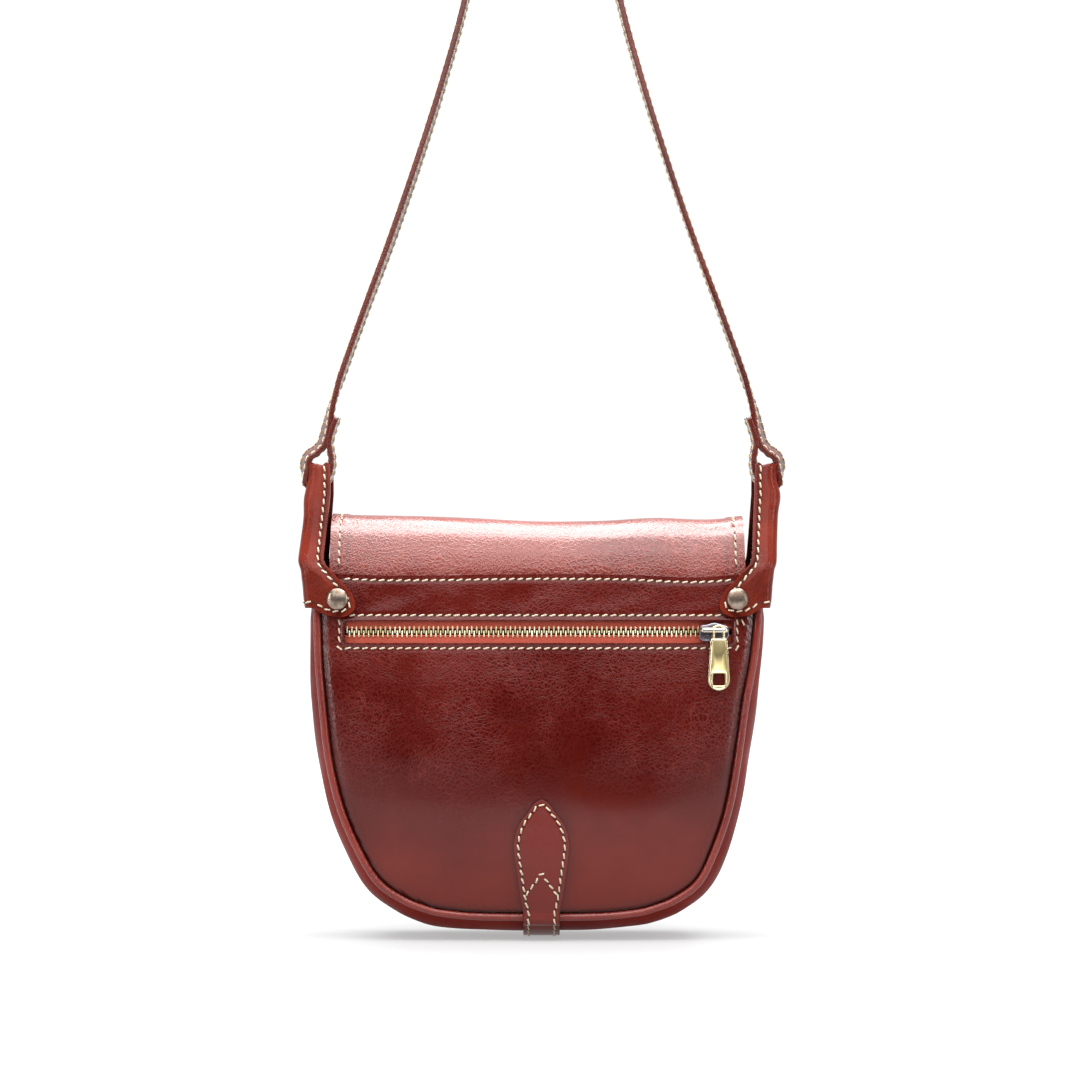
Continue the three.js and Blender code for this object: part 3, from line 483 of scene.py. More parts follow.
def leather(
    name, deep, warm, vein, cell=1.9, vein_height=0.05, vein_show=1.0, gloss=(0.15, 0.22),
    mottle=16, fade=None, shine=0.5, floor_lit_tone=None,
):
    """Glazed leather: a cloudy mix of a deep and a warm tone, a net of fine crinkled veins between
    pebbles of the cell size, stretched one way here and another way there, a few longer creases, a
    finer grain below them, and gloss that varies with the clouds. fade gives two frame heights in
    metres: the veins are lost below the first, where the tone turns to a lighter low tone that is
    painted light from the floor, and full above the second. A per-place attribute lays a painted
    shade in seams, grooves, folds and edges."""
    look, shader = bare_look(name, gloss[0], Specular_IOR_Level=shine)
    place = add(look, "TexCoord").outputs["Object"]

    def drift(scale, reach):
        """Wandering push of the pattern, of a given scale and reach in metres."""
        push = add(look, "TexNoise", {"Vector": place, "Scale": scale, "Detail": 2}).outputs["Color"]
        push = add(look, "VectorMath", {0: push, 1: (0.5, 0.5, 0.5)}, operation="SUBTRACT").outputs[0]
        return add(look, "VectorMath", {0: push, "Scale": reach}, operation="SCALE").outputs[0]

    warped = add(look, "VectorMath", {0: place, 1: drift(26, 0.022)}, operation="ADD").outputs[0]
    warped = add(look, "VectorMath", {0: warped, 1: drift(330, 0.0022)}, operation="ADD").outputs[0]

    def net(scale):
        """Distance from the nearest vein of a net, given how many cells fit in a metre."""
        sockets = {"Vector": warped, "Scale": scale}
        return add(look, "TexVoronoi", sockets, feature="DISTANCE_TO_EDGE").outputs["Distance"]

    main_veins = remap(look, net(1000 / cell), 0.0, 0.2, 0.8, 0.0)
    small_veins = remap(look, net(1900 / cell), 0.0, 0.28, 0.3, 0.0)
    veins = maths(look, "ADD", main_veins, small_veins)
    clouds = {"Vector": place, "Scale": mottle, "Detail": 4, "Roughness": 0.5}
    cloud = add(look, "TexNoise", clouds).outputs["Fac"]
    patch = add(look, "TexNoise", {"Vector": place, "Scale": mottle * 2.2, "Detail": 2}).outputs["Fac"]
    fold = add(look, "TexNoise", {"Vector": warped, "Scale": 62, "Detail": 2}).outputs["Fac"]
    fold = maths(look, "ABSOLUTE", maths(look, "SUBTRACT", fold, 0.5), 0.0)
    veins = maths(look, "ADD", veins, remap(look, fold, 0.0, 0.014, 0.5, 0.0))
    shown = remap(look, patch, 0.3, 0.62, 0.5, 1.0)
    if fade:
        height = add(look, "SeparateXYZ", {0: place}).outputs["Z"]
        wander = maths(look, "MULTIPLY", maths(look, "SUBTRACT", cloud, 0.5), 0.12)
        height = maths(look, "ADD", height, wander)
        shown = maths(look, "MULTIPLY", shown, remap(look, height, fade[0], fade[1], 0.12, 1.0))
    veins = maths(look, "MULTIPLY", veins, shown)
    tone = blend_colour(look, remap(look, cloud, 0.34, 0.66, 0.0, 1.0), (*deep, 1), (*warm, 1))
    # Painted light: below the fade heights the tone turns lighter, as if lit from the floor.
    if floor_lit_tone:
        low = remap(look, height, fade[0] - 0.03, fade[1] - 0.015, 1.0, 0.0)
        tone = blend_colour(look, low, tone, (*floor_lit_tone, 1))
    tone = blend_colour(look, maths(look, "MULTIPLY", veins, vein_show), tone, (*vein, 1))
    # Painted shade: the per-place attribute darkens the tone in seams, grooves, folds and edges.
    shaded = add(look, "Attribute", attribute_name="painted_shade").outputs["Fac"]
    tone = blend_colour(look, shaded, tone, (*PAINTED_SHADE_TONE, 1))
    join_to(look, tone, shader, "Base Color")
    join_to(look, remap(look, patch, 0.3, 0.7, *gloss), shader, "Roughness")
    grain = add(look, "TexNoise", {"Vector": place, "Scale": 1500, "Detail": 3}).outputs["Fac"]
    first = add(look, "Bump", {"Height": grain, "Strength": 0.3, "Distance": 0.0001})
    second = add(look, "Bump", {
        "Height": veins, "Strength": 1.0, "Distance": vein_height * MILLIMETRE,
        "Normal": first.outputs[0],
    })
    join_to(look, second.outputs[0], shader, "Normal")
    return look


def metal(name, base, dull, roughness, wear=60):
    """Cast or turned metal: a bright tone and a dull patina in small clouds, with faint scuffs."""
    look, shader = bare_look(name, roughness[0], metal=1.0)
    place = add(look, "TexCoord").outputs["Object"]
    clouds = {"Vector": place, "Scale": wear, "Detail": 6, "Roughness": 0.65}
    cloud = add(look, "TexNoise", clouds).outputs["Fac"]
    patina = remap(look, cloud, 0.38, 0.62, 0.0, 1.0)
    join_to(look, blend_colour(look, patina, (*base, 1), (*dull, 1)), shader, "Base Color")
    join_to(look, remap(look, cloud, 0.35, 0.65, *roughness), shader, "Roughness")
    scuff = add(look, "TexNoise", {"Vector": place, "Scale": 1800, "Detail": 2}).outputs["Fac"]
    bump = add(look, "Bump", {"Height": scuff, "Strength": 0.2, "Distance": 0.00005})
    join_to(look, bump.outputs[0], shader, "Normal")
    return look


def thread_look(name, colour, shade):
    """Waxed thread: fine twisted plies as slanted ridges, with painted shade between them."""
    look, shader = bare_look(name, 0.55, Sheen_Weight=0.3)
    place = add(look, "TexCoord").outputs["Object"]
    plies = {"Vector": place, "Scale": 620, "Distortion": 1.5}
    ply = add(look, "TexWave", plies, bands_direction="DIAGONAL").outputs["Fac"]
    join_to(look, blend_colour(look, ply, (*shade, 1), (*colour, 1)), shader, "Base Color")
    bump = add(look, "Bump", {"Height": ply, "Strength": 0.5, "Distance": 0.0001})
    join_to(look, bump.outputs[0], shader, "Normal")
    return look


def tape_look(name, colour, shade):
    """Woven zip tape: ribs across the tape crossed by finer threads along it, with painted shade where the
    weave sinks.
    """
    look, shader = bare_look(name, 0.7, Sheen_Weight=0.25)
    place = add(look, "TexCoord").outputs["Object"]
    ribs = {"Vector": place, "Scale": 520, "Distortion": 0.6}
    rib = add(look, "TexWave", ribs, bands_direction="X").outputs["Fac"]
    wefts = {"Vector": place, "Scale": 700, "Distortion": 0.4}
    weft = add(look, "TexWave", wefts, bands_direction="Z").outputs["Fac"]
    weave = maths(look, "MULTIPLY", rib, weft)
    lit = remap(look, weave, 0.0, 0.6, 0.0, 1.0)
    join_to(look, blend_colour(look, lit, (*shade, 1), (*colour, 1)), shader, "Base Color")
    bump = add(look, "Bump", {"Height": weave, "Strength": 0.6, "Distance": 0.00015})
    join_to(look, bump.outputs[0], shader, "Normal")
    return look


# The back panel's lower part turns to a lighter tone, painted light from the floor.
PANEL_LEATHER = leather(
    "panel_leather", (0.044, 0.0016, 0.0010), (0.072, 0.0046, 0.0026), (0.125, 0.018, 0.014),
    fade=(-0.665, -0.625), cell=1.75, vein_show=0.7, gloss=(0.10, 0.155), shine=0.33,
    floor_lit_tone=(0.125, 0.0115, 0.0062),
)
FLAP_LEATHER = leather(
    "flap_leather", (0.105, 0.0100, 0.0060), (0.17, 0.021, 0.012), (0.22, 0.040, 0.028), cell=2.0,
    vein_height=0.10, shine=1.0, gloss=(0.17, 0.26),
)
GUSSET_LEATHER = leather(
    "gusset_leather", (0.105, 0.0050, 0.0030), (0.18, 0.012, 0.006), (0.19, 0.018, 0.010), cell=1.3,
    vein_show=0.3, gloss=(0.36, 0.5), shine=0.035,
)
PIPING_LEATHER = leather(
    "piping_leather", (0.12, 0.0100, 0.0070), (0.19, 0.020, 0.012), (0.21, 0.030, 0.019), cell=1.2,
    vein_show=0.3, gloss=(0.2, 0.3),
)
EAR_LEATHER = leather(
    "ear_leather", (0.074, 0.0066, 0.0036), (0.155, 0.0175, 0.0085), (0.16, 0.024, 0.013), cell=1.6,
    vein_show=0.4, mottle=34, gloss=(0.14, 0.22), shine=0.16,
)
TAB_LEATHER = leather(
    "tab_leather", (0.115, 0.010, 0.0065), (0.135, 0.012, 0.0075), (0.14, 0.017, 0.011), cell=1.2,
    vein_height=0.02, vein_show=0.2, shine=0.34, gloss=(0.12, 0.18),
)
STRAP_LEATHER = leather(
    "strap_leather", (0.055, 0.0055, 0.0040), (0.085, 0.011, 0.0065), (0.1, 0.018, 0.012), cell=1.4,
    vein_show=0.3,
)
ZIP_TAPE = tape_look("zip_tape", (0.54, 0.072, 0.030), (0.32, 0.037, 0.016))
ZIP_BRASS = metal("zip_brass", (0.90, 0.82, 0.60), (0.62, 0.50, 0.28), (0.25, 0.4))
PULL_BRASS = metal("pull_brass", (0.42, 0.35, 0.18), (0.30, 0.24, 0.11), (0.28, 0.45))
PULL_RIM = metal("pull_rim", (0.86, 0.76, 0.52), (0.7, 0.58, 0.34), (0.18, 0.3))
GUNMETAL = metal("gunmetal", (0.34, 0.33, 0.36), (0.17, 0.16, 0.18), (0.16, 0.3))
BAIL_METAL = metal("bail_metal", (0.72, 0.68, 0.60), (0.45, 0.41, 0.36), (0.15, 0.28))
ANTIQUE = metal("antique_metal", (0.34, 0.27, 0.22), (0.17, 0.12, 0.09), (0.26, 0.42), wear=220)
THREAD = thread_look("cream_thread", (0.62, 0.52, 0.38), (0.42, 0.31, 0.19))
# Painted shade: near black for the shadowed holes where the thread dives in.
STITCH_HOLE_SHADE = bare_look("stitch_hole_shade", 0.9, colour=(0.012, 0.004, 0.003, 1))[0]


def seam_distance(x, height):
    """Distance of places on a panel from its seam, to the nearest of many points of the seam."""
    path, _ = whole_seam(260)
    apart = np.stack([np.ravel(x), np.ravel(height)], axis=1)[:, None] - path[None, :, :2]
    return np.sqrt((apart**2).sum(axis=-1).min(axis=1)).reshape(np.shape(x))


def top_edge(x):
    """Height of the panel's top edge."""
    return PANEL_TOP + smooth(x / HALF_WIDTH, TOP_EDGE["x"], TOP_EDGE["lift"])


def window_gap(x, height):
    """Signed distance outside the zip window, a rectangle with rounded corners, in millimetres."""
    across = np.abs(x - WINDOW_CENTRE) - (WINDOW_HALF_LENGTH - WINDOW_CORNER)
    rise = np.abs(height - ZIP_HEIGHT) - (WINDOW_HALF_HEIGHT - WINDOW_CORNER)
    outside = np.hypot(np.maximum(across, 0), np.maximum(rise, 0))
    return outside + np.minimum(np.maximum(across, rise), 0) - WINDOW_CORNER


def panel_depth(x, height):
    """How far the panel's outer face stands out of the middle of the bag: the shell, plus gentle
    unevenness that dies at the seam and small puckers a little inside it, less a tuck along the
    seam."""
    seam = seam_distance(x, height)
    calm = 1 - dip(seam, 12)
    uneven = 0.75 * ripple(x, height, 11, 120) + 0.28 * ripple(x, height, 12, 45)
    puckers = 0.10 * np.sin(2 * np.pi * (x + height) / 4.2) * dip(seam - 2.5, 2.5)
    return HALF_DEPTH + WALL + bulge(x, height) + calm * uneven + puckers - 1.2 * dip(seam, 2.6)


def back_depth(x, height):
    """Back panel's outer face: the panel with its lines of thread and the raised rim of the zip
    window pressed into it."""
    grooves = 0.30 * dip(top_edge(x) - TOP_STITCHES - height, 1.1)
    grooves += 0.30 * dip(height - LOWER_STITCHES, 1.1) * (np.abs(x) < 97)
    outside = window_gap(x, height)
    grooves += 0.30 * dip(outside - WINDOW_STITCHES, 1.0) * (height < 158)
    rim = 0.35 * dip(outside - 0.4, 1.1)
    slack = 0.5 * dip(height - 166, 9) * ripple(x, height, 13, 26)
    return panel_depth(x, height) - grooves + rim + slack


def shares(marks, counts):
    """Steps between marks, so many to each span, with the marks themselves kept."""
    spans = [
        np.linspace(a, b, n, endpoint=False) for a, b, n in zip(marks[:-1], marks[1:], counts)
    ]
    return np.r_[np.concatenate(spans), marks[-1]]


def open_window(x, height):
    """Places of the panel with those on the window's rim moved onto its outline, against the slope
    of the distance from it, and which cells lie outside the window."""
    gap = window_gap(x, height)
    middle = (gap[:-1, :-1] + gap[1:, :-1] + gap[:-1, 1:] + gap[1:, 1:]) / 4
    keep = middle > 0
    kept_near = np.zeros_like(gap, bool)
    open_near = np.zeros_like(gap, bool)
    for row in (slice(0, -1), slice(1, None)):
        for column in (slice(0, -1), slice(1, None)):
            kept_near[row, column] |= keep
            open_near[row, column] |= ~keep
    rim = kept_near & open_near
    step = 0.05
    push_x = (window_gap(x + step, height) - window_gap(x - step, height)) / (2 * step)
    push_z = (window_gap(x, height + step) - window_gap(x, height - step)) / (2 * step)
    return np.where(rim, x - gap * push_x, x), np.where(rim, height - gap * push_z, height), keep


def back_panel():
    """Back panel with its zip window: a grid whose columns are shares of the width and whose rows
    follow the base curve below and the top edge above, opened where the window is."""
    half = side_at(np.array([ZIP_HEIGHT]))[0]
    middle = WINDOW_CENTRE - body_lean(np.array([ZIP_HEIGHT]))[0]
    left = (middle - WINDOW_HALF_LENGTH) / half
    right = (middle + WINDOW_HALF_LENGTH) / half
    corner = 2.4 / half
    across = shares(
        [-1, left - corner, left, left + corner, right - corner, right, right + corner, 1],
        [14, 4, 5, 120, 5, 4, 12],
    )
    low, high = ZIP_HEIGHT - WINDOW_HALF_HEIGHT, ZIP_HEIGHT + WINDOW_HALF_HEIGHT
    levels = shares(
        [SEAM_BASE + SEAT_GAP, 30, low - 2.4, low, low + 2.4, high - 2.4, high, high + 2.4, PANEL_TOP],
        [22, 74, 5, 5, 8, 5, 5, 26],
    )
    x = body_lean(levels)[:, None] + across[None] * side_at(levels)[:, None]
    height = levels[:, None] + np.zeros_like(x)
    lifted = np.clip((levels[:, None] - high) / (PANEL_TOP - high), 0, 1)
    height = height + lifted * (top_edge(x) - PANEL_TOP)
    x, height, keep = open_window(x, height)
    grid = np.stack([x, -back_depth(x, height), height], axis=-1)
    # Painted shade along the seam and round the rim of the zip window.
    shade_amount = 0.95 * dip(seam_distance(x, height), 1.5) + 0.5 * dip(window_gap(x, height), 0.5)
    piece = skin(
        "back_panel_leather", grid, PANEL_LEATHER, np.stack([x, height], axis=-1), keep,
        painted_shade=np.clip(shade_amount, 0, 1),
    )
    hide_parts("back_panel")
    return piece


def front_panel():
    """Front panel, the same shell on the other face, with no window; the flap covers it."""
    levels = np.linspace(SEAM_BASE + SEAT_GAP, PANEL_TOP, 90)
    x = body_lean(levels)[:, None] + np.linspace(-1, 1, 90)[None] * side_at(levels)[:, None]
    height = levels[:, None] + np.zeros_like(x)
    grid = np.stack([x, panel_depth(x, height), height], axis=-1)
    piece = skin("front_panel_leather", grid, FLAP_LEATHER, np.stack([x, height], axis=-1), flip=True)
    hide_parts("front_panel")
    return piece


def gusset():
    """Band between the panels: at each station of the seam it arches outwards by the puff, 1 minus
    the square of the share of the depth, with slack folds that run across it."""
    path, out = whole_seam(150)
    across = crowded(49, 0.5)
    reach = HALF_DEPTH - SEAT_GAP
    run = run_along(path[:, :2])
    arch = path[:, 2:] * (1 - across[None] ** 2)
    creases = ripple(run[:, None] + 0 * across, across[None] * 9 + 0 * run[:, None], 21, 34)
    slack = 0.55 * creases * (1 - across[None] ** 4)
    tuck = 0.5 * dip(1 - np.abs(across[None]), 0.06)
    lift = arch + slack - tuck
    grid = np.stack([
        path[:, :1] + out[:, :1] * lift,
        np.broadcast_to(across * reach, lift.shape),
        path[:, 1:2] + out[:, 1:] * lift,
    ], axis=-1)
    uv = np.stack(np.broadcast_arrays(run[:, None], across[None] * reach), axis=-1)
    # Painted shade along both edges, in the gap beside the piping.
    shade_amount = 0.95 * dip(1 - np.abs(across), 0.09)[None]
    piece = skin("gusset_leather", grid, GUSSET_LEATHER, uv, painted_shade=shade_amount)
    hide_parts("gusset")
    return piece


def piping(name, face):
    """Corded edge: a round profile along the seam, a little outside it, with the covering leather
    puckered every few millimetres."""
    path, out = whole_seam(330)
    side = np.stack([out[:, 0], np.zeros(len(out)), out[:, 1]], axis=1)
    line = np.stack([
        path[:, 0] + out[:, 0] * PIPING_OFFSET,
        np.full(len(path), face * PIPING_DEPTH),
        path[:, 1] + out[:, 1] * PIPING_OFFSET,
    ], axis=1)
    run = np.arange(len(line)) * 1.0
    wrinkle = 1 + 0.035 * np.sin(run * 1.9) * ripple(run, 0 * run, 31, 60)
    wrinkle += 0.03 * ripple(run, 0 * run, 32, 19)
    up = np.tile([0.0, 1.0, 0.0], (len(line), 1))
    section = ring(20) * (PIPING_RADIUS + 0.1)
    piece = tube(name + "_cord", line, side, up, section, PIPING_LEATHER, scale=wrinkle)
    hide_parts(name)
    return piece


back_panel()
front_panel()
gusset()
piping("back_piping", -1)
piping("front_piping", 1)


def flap_line(count):
    """Middle line of the flap's outer face at even steps: depth, height, half width, follow and
    crown, a smooth line through the flap's sections."""
    depth = FLAP["run"] * HALF_DEPTH + FLAP["stand"] * FLAP_STAND + 0.8 * (FLAP["run"] < -0.9)
    rows = np.stack([
        depth, FLAP["height"] * FLAP_TOP, FLAP["half"] * FLAP_HALF_WIDTH, FLAP["follow"],
        FLAP["stand"] * FLAP_CROWN,
    ], axis=1)
    return spread(rows, count)


def flap_grid(rows=190, columns=150):
    """Flap's outer face as rows along its line and columns across it, closer near the sides."""
    line = flap_line(rows)
    return flap_face(line, crowded(columns, 0.6)[None] * line[:, 2:3]), line


def flap_face(line, x):
    """Places on the flap's outer face at a distance x from its middle, for each row of its line:
    the middle line carried across the width. It follows the panel behind the hem, its ridge
    wanders in height, its sides are folded strips a little thicker than the middle, and slack
    makes shallow waves along the ridge."""
    depth, level, half, follow, crown = line.T[:, :, None]
    across = x / half
    run = slope(line[:, :2])
    out = np.stack([-run[:, 1], run[:, 0]], axis=1)
    swell = follow * bulge(x, np.minimum(level, PANEL_TOP))
    top = np.clip((level - 175) / 30, 0, 1) ** 1.5
    inset = half - np.abs(x)
    strip = 0.5 / (1 + np.exp((inset - FLAP_HEM_FOLD + 1.0) * 4.5))
    groove = 0.3 * dip(inset - FLAP_STITCH_INSET, 0.9)
    waves = 0.55 * ripple(x, level * 1.3 + depth, 41, 90) + 0.2 * ripple(x, level + depth, 42, 32)
    free = np.clip((level - 186) / 14, 0, 1) + np.clip(depth / 12, 0, 1)
    lift = strip - groove + waves * np.clip(free, 0, 1)
    ridge = smooth(x / FLAP_HALF_WIDTH, RIDGE["x"], RIDGE["lift"])
    return np.stack([
        x, depth - swell - crown * across**2 + out[:, :1] * lift, level + ridge * top + out[:, 1:] * lift,
    ], axis=-1)


def flap():
    """Flap from its hem behind the back panel, over the top and down the front."""
    grid, line = flap_grid()
    length = run_along(line[:, :2])
    uv = np.stack([grid[..., 0], np.broadcast_to(length[:, None], grid.shape[:2])], axis=-1)
    inset = line[:, 2:3] - np.abs(grid[..., 0])
    # Painted shade along the hem's fold and the line of thread.
    shade_amount = 0.45 * dip(inset - FLAP_HEM_FOLD, 0.5) + 0.2 * dip(inset - FLAP_STITCH_INSET, 0.9)
    piece = skin("flap_leather_sheet", grid, FLAP_LEATHER, uv, edge=0.6, painted_shade=shade_amount)
    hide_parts("flap")
    return piece


def lean(height):
    """Sideways lean of both ears and the strap above the crease."""
    share = (height - CREASE_HEIGHT) / (SLOT_CENTRE - SLOT_HALF_HEIGHT - CREASE_HEIGHT)
    return TOP_LEAN * np.clip(share, 0, 1)


def ear_rows(count):
    """Smooth sections of the ear at even steps of its table, as edge, side, reach, wall, narrow."""
    steps = np.arange(len(EAR["edge"]), dtype=float)
    at = np.linspace(0, steps[-1], count)
    return [smooth(at, steps, EAR[key])[:, None] for key in ("edge", "side", "reach", "wall", "narrow")]


def ear_grid(rows=150, flange=26, corner=9, wall=15):
    """Ear on the +X side before its lean: a channel open towards the bag. Each section runs along
    the back flange, round the corner, across the outer wall, and back along the front flange."""
    edge, side, reach, out, narrow = ear_rows(rows)
    height = EAR_TOP - LOBE_BASE
    low = LOBE_BASE + edge * height
    high = LOBE_BASE + side * height - 2.0 * np.clip((side - 0.93) / 0.07, 0, 1) ** 2
    outer = out * HALF_WIDTH
    face = EAR_FACE + narrow * (EAR_TOP_HALF_DEPTH - EAR_FACE)
    face = face - 1.6 * np.clip((edge - 0.8) / 0.2, 0, 1) ** 2
    bend = 4.5 + 1.5 * narrow
    fade = np.clip(1 - narrow * 4, 0, 1)
    share = np.linspace(0, 1, flange)[None]
    x = reach * HALF_WIDTH + (outer - bend - reach * HALF_WIDTH) * share
    z = low + (high - low) * share**2
    upper = np.clip((edge - 0.86) / 0.14, 0, 1) ** 2
    from_edge = x - reach * HALF_WIDTH
    z = z - upper * (2.4 * dip(from_edge, 1.6) + 1.7 * dip(from_edge - EAR_STITCH_INSET - 0.6, 1.5))
    grown = np.clip(edge / 0.3, 0, 1)
    roll_up = grown * (0.7 * dip(from_edge - 8.5, 3.2) - 0.5 * dip(from_edge - EAR_STITCH_INSET, 1.1))
    back = np.stack([x, -(face + roll_up + fade * bulge(x, np.minimum(z, PANEL_TOP))), z], axis=-1)
    turn = np.linspace(0, np.pi / 2, corner + 1)[None, 1:]
    roll = np.stack(np.broadcast_arrays(
        outer - bend + bend * np.sin(turn), -(face - bend) - bend * np.cos(turn), high,
    ), axis=-1)
    flat = -(face - bend) * np.linspace(1, -1, 2 * wall)[None, 1:-1]
    bow = 0.9 * (1 - (flat / (face - bend)) ** 2)
    middle = np.stack(np.broadcast_arrays(outer + bow - 0.9 + 0 * flat, flat, high), axis=-1)
    mirror = np.array([1, -1, 1])
    half = np.concatenate([back, roll], axis=1)
    return np.concatenate([half, middle, (half * mirror)[:, ::-1]], axis=1)


def ear(end, side):
    """Ear with the slot for the strap cut through its outer wall; the lobes carry a shallow groove
    under the thread and the rolled edge creases where the ear bends."""
    grid = ear_grid()
    x, y, z = np.moveaxis(grid, -1, 0)
    middle_y = (y[:-1, :-1] + y[1:, 1:]) / 2
    middle_z = (z[:-1, :-1] + z[1:, 1:]) / 2
    wall = (x[:-1, :-1] + x[1:, 1:]) / 2 > HALF_WIDTH
    slot = np.abs(middle_z - SLOT_CENTRE) < SLOT_HALF_HEIGHT
    slot &= (np.abs(middle_y) < STRAP_WIDTH / 2 + 0.6) & wall
    crumple = 0.35 * ripple(z, y, 51 + (side > 0), 17) * dip(z - 190, 26) + 0.2 * ripple(z, y, 53, 40)
    crumple *= np.clip((x - HALF_WIDTH + 9) / 5, 0, 1)
    x = x + crumple
    grid = np.stack([side * x + lean(z), y, z], axis=-1)
    uv = np.stack([y + x, z], axis=-1)
    name = "ear_" + end
    column = np.arange(grid.shape[1])
    # Painted shade near the flanges' lines of thread and along the lobes' lower rows.
    shade_amount = 0.6 * dip(np.minimum(column, column[::-1]) - 6.2, 2.6)[None]
    shade_amount = shade_amount + 0.6 * dip(np.arange(len(grid)), 1.2)[:, None]
    piece = skin(
        name + "_leather", grid, EAR_LEATHER, uv, keep=~slot, flip=side < 0, edge=0.55,
        painted_shade=np.clip(shade_amount, 0, 1),
    )
    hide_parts(name)
    return piece


flap()
ear("left", -1)
ear("right", 1)


def tab_line(count):
    """The tab's inner face from its tip down the back, under the base and up the front: depth,
    height and half width, at even steps of a smooth line."""
    seam_bottom = SEAM_BASE - PIPING_OFFSET
    past = PIPING_DEPTH + PIPING_RADIUS + SEAT_GAP
    height = TAB_TIP - TAB_BACK["drop"] * (TAB_TIP - seam_bottom)
    depth = np.maximum(HALF_DEPTH + WALL + bulge(0.0, height) + SEAT_GAP, past)
    back = np.stack([-depth, height, TAB_BACK["half"] * TAB_HALF_WIDTH], axis=1)
    neck = back[-1, 2]

    def round_piping(face, angles):
        """Line round the piping at a few angles below its widest place."""
        turn = np.pi * np.array(angles)
        wrap = PIPING_RADIUS + SEAT_GAP
        return np.stack([
            face * (PIPING_DEPTH + wrap * np.cos(turn)), seam_bottom - wrap * np.sin(turn), neck + 0 * turn,
        ], axis=1)

    under = np.linspace(-0.8, 0.8, 9)
    base = SEAM_BASE - GUSSET_PUFF * (1 - under**2)
    base = np.minimum(base, seam_bottom - PIPING_RADIUS) - SEAT_GAP
    below = np.stack([under * HALF_DEPTH, base, neck + 0 * under], axis=1)
    hem = flap_line(200)[-1]
    climb = hem[1] + TAB_FRONT["rise"] * (74.0 - hem[1])
    front = np.stack([flap_front(climb) + SEAT_GAP, climb, TAB_FRONT["half"] * TAB_HALF_WIDTH], axis=1)
    start = np.array([[hem[0] + 0.6, hem[1] - 0.6, neck]])
    rows = np.concatenate([
        back, round_piping(-1, [0.12, 0.3]), below, round_piping(1, [0.3, 0.12]), start, front,
    ])
    return spread(rows, count)


def flap_front(height):
    """Depth of the flap's outer face on the front, at a height."""
    line = flap_line(400)
    front = line[line[:, 0] > HALF_DEPTH]
    return np.interp(height, front[::-1, 1], front[::-1, 0])


def tab_frame(count=300):
    """The tab's line with its outward direction, in depth and height."""
    line = tab_line(count)
    run = slope(line[:, :2])
    return line, np.stack([run[:, 1], -run[:, 0]], axis=1)


def bottom_tab():
    """Tongue of two layers: each section is a slim bar with rounded edges, as wide as the tab is
    there, carried along its line, with a pressed line under the thread and slight unevenness."""
    line, out = tab_frame()
    half = line[:, 2:3]
    x = crowded(44, 0.7)[None] * half
    inset = half - np.abs(x)
    press = 0.28 * dip(inset - 2.5, 0.8)
    lift = TAB_THICKNESS - press + 0.12 * ripple(x, np.arange(len(line))[:, None] * 0.7, 61, 30)
    outer = np.stack([
        TAB_CENTRE + x, line[:, :1] + out[:, :1] * lift, line[:, 1:2] + out[:, 1:] * lift,
    ], axis=-1)
    uv = np.stack(np.broadcast_arrays(x, np.arange(len(line))[:, None] * 0.7), axis=-1)
    # Painted shade along the tab's edge.
    piece = skin(
        "bottom_tab_leather", outer, TAB_LEATHER, uv, flip=True, wall=TAB_THICKNESS, edge=0.6,
        painted_shade=0.8 * dip(inset, 0.45),
    )
    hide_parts("bottom_tab")
    return piece


def strap_line(count):
    """Middle line of the whole strap in x and height, measured from the middle of the ears: up
    from one tail, round the bridge of the ear, up the strand, over the arch and down the other."""
    leg = HALF_WIDTH * EAR["wall"][-1] + SEAT_GAP + STRAP_THICKNESS / 2
    radius = STRAP_ARCH_RADIUS + STRAP_THICKNESS / 2
    arch = EAR_TOP + STRAP_DROP - STRAP_ARCH_RADIUS
    loop_x = leg - LOOP["across"] * LOOP_WIDTH
    loop_z = SLOT_CENTRE - 1 + LOOP["rise"] * LOOP_HEIGHT
    loop = np.stack([loop_x, loop_z], axis=1)[::-1]
    strand = np.stack([STRAND["spread"] * leg, EAR_TOP + STRAND["rise"] * (arch - EAR_TOP)], axis=1)
    turn = np.linspace(0, np.pi / 2, 5)
    crown = np.stack([radius * np.cos(turn), arch + radius * np.sin(turn)], axis=1)
    half = np.concatenate([loop, strand, crown])
    other = (half * [-1, 1])[-2::-1]
    return spread(np.concatenate([half, other]), count)


def strap_frame():
    """Places along the strap with the directions across its thickness and across its width. Both
    are twisted a few degrees where a strand shows a strip of its inner face between the ear and
    the top of the picture."""
    count = 900
    line = strap_line(count)
    run = slope(line)
    out = np.stack([run[:, 1], -run[:, 0]], axis=1)
    rise = line[:, 1] - EAR_TOP
    twist = np.radians(2.5) * dip(rise - 118, 62) * -np.sign(line[:, 0])
    length = run_along(line)
    from_tail = np.minimum(length, length[-1] - length)
    bridge = from_tail[np.argmin(line[: count // 2, 1])]
    past = from_tail - bridge
    twist -= np.radians(13) * np.clip((past - 6) / 8, 0, 1) * np.clip((62 - past) / 26, 0, 1)
    place = np.stack([line[:, 0] + TOP_LEAN, np.zeros(count), line[:, 1]], axis=1)
    flat = np.stack([out[:, 0], np.zeros(count), out[:, 1]], axis=1)
    wide = np.tile([0.0, 1.0, 0.0], (count, 1))
    turn = twist[:, None]
    side = flat * np.cos(turn) + wide * np.sin(turn)
    up = wide * np.cos(turn) - flat * np.sin(turn)
    return place, side, up


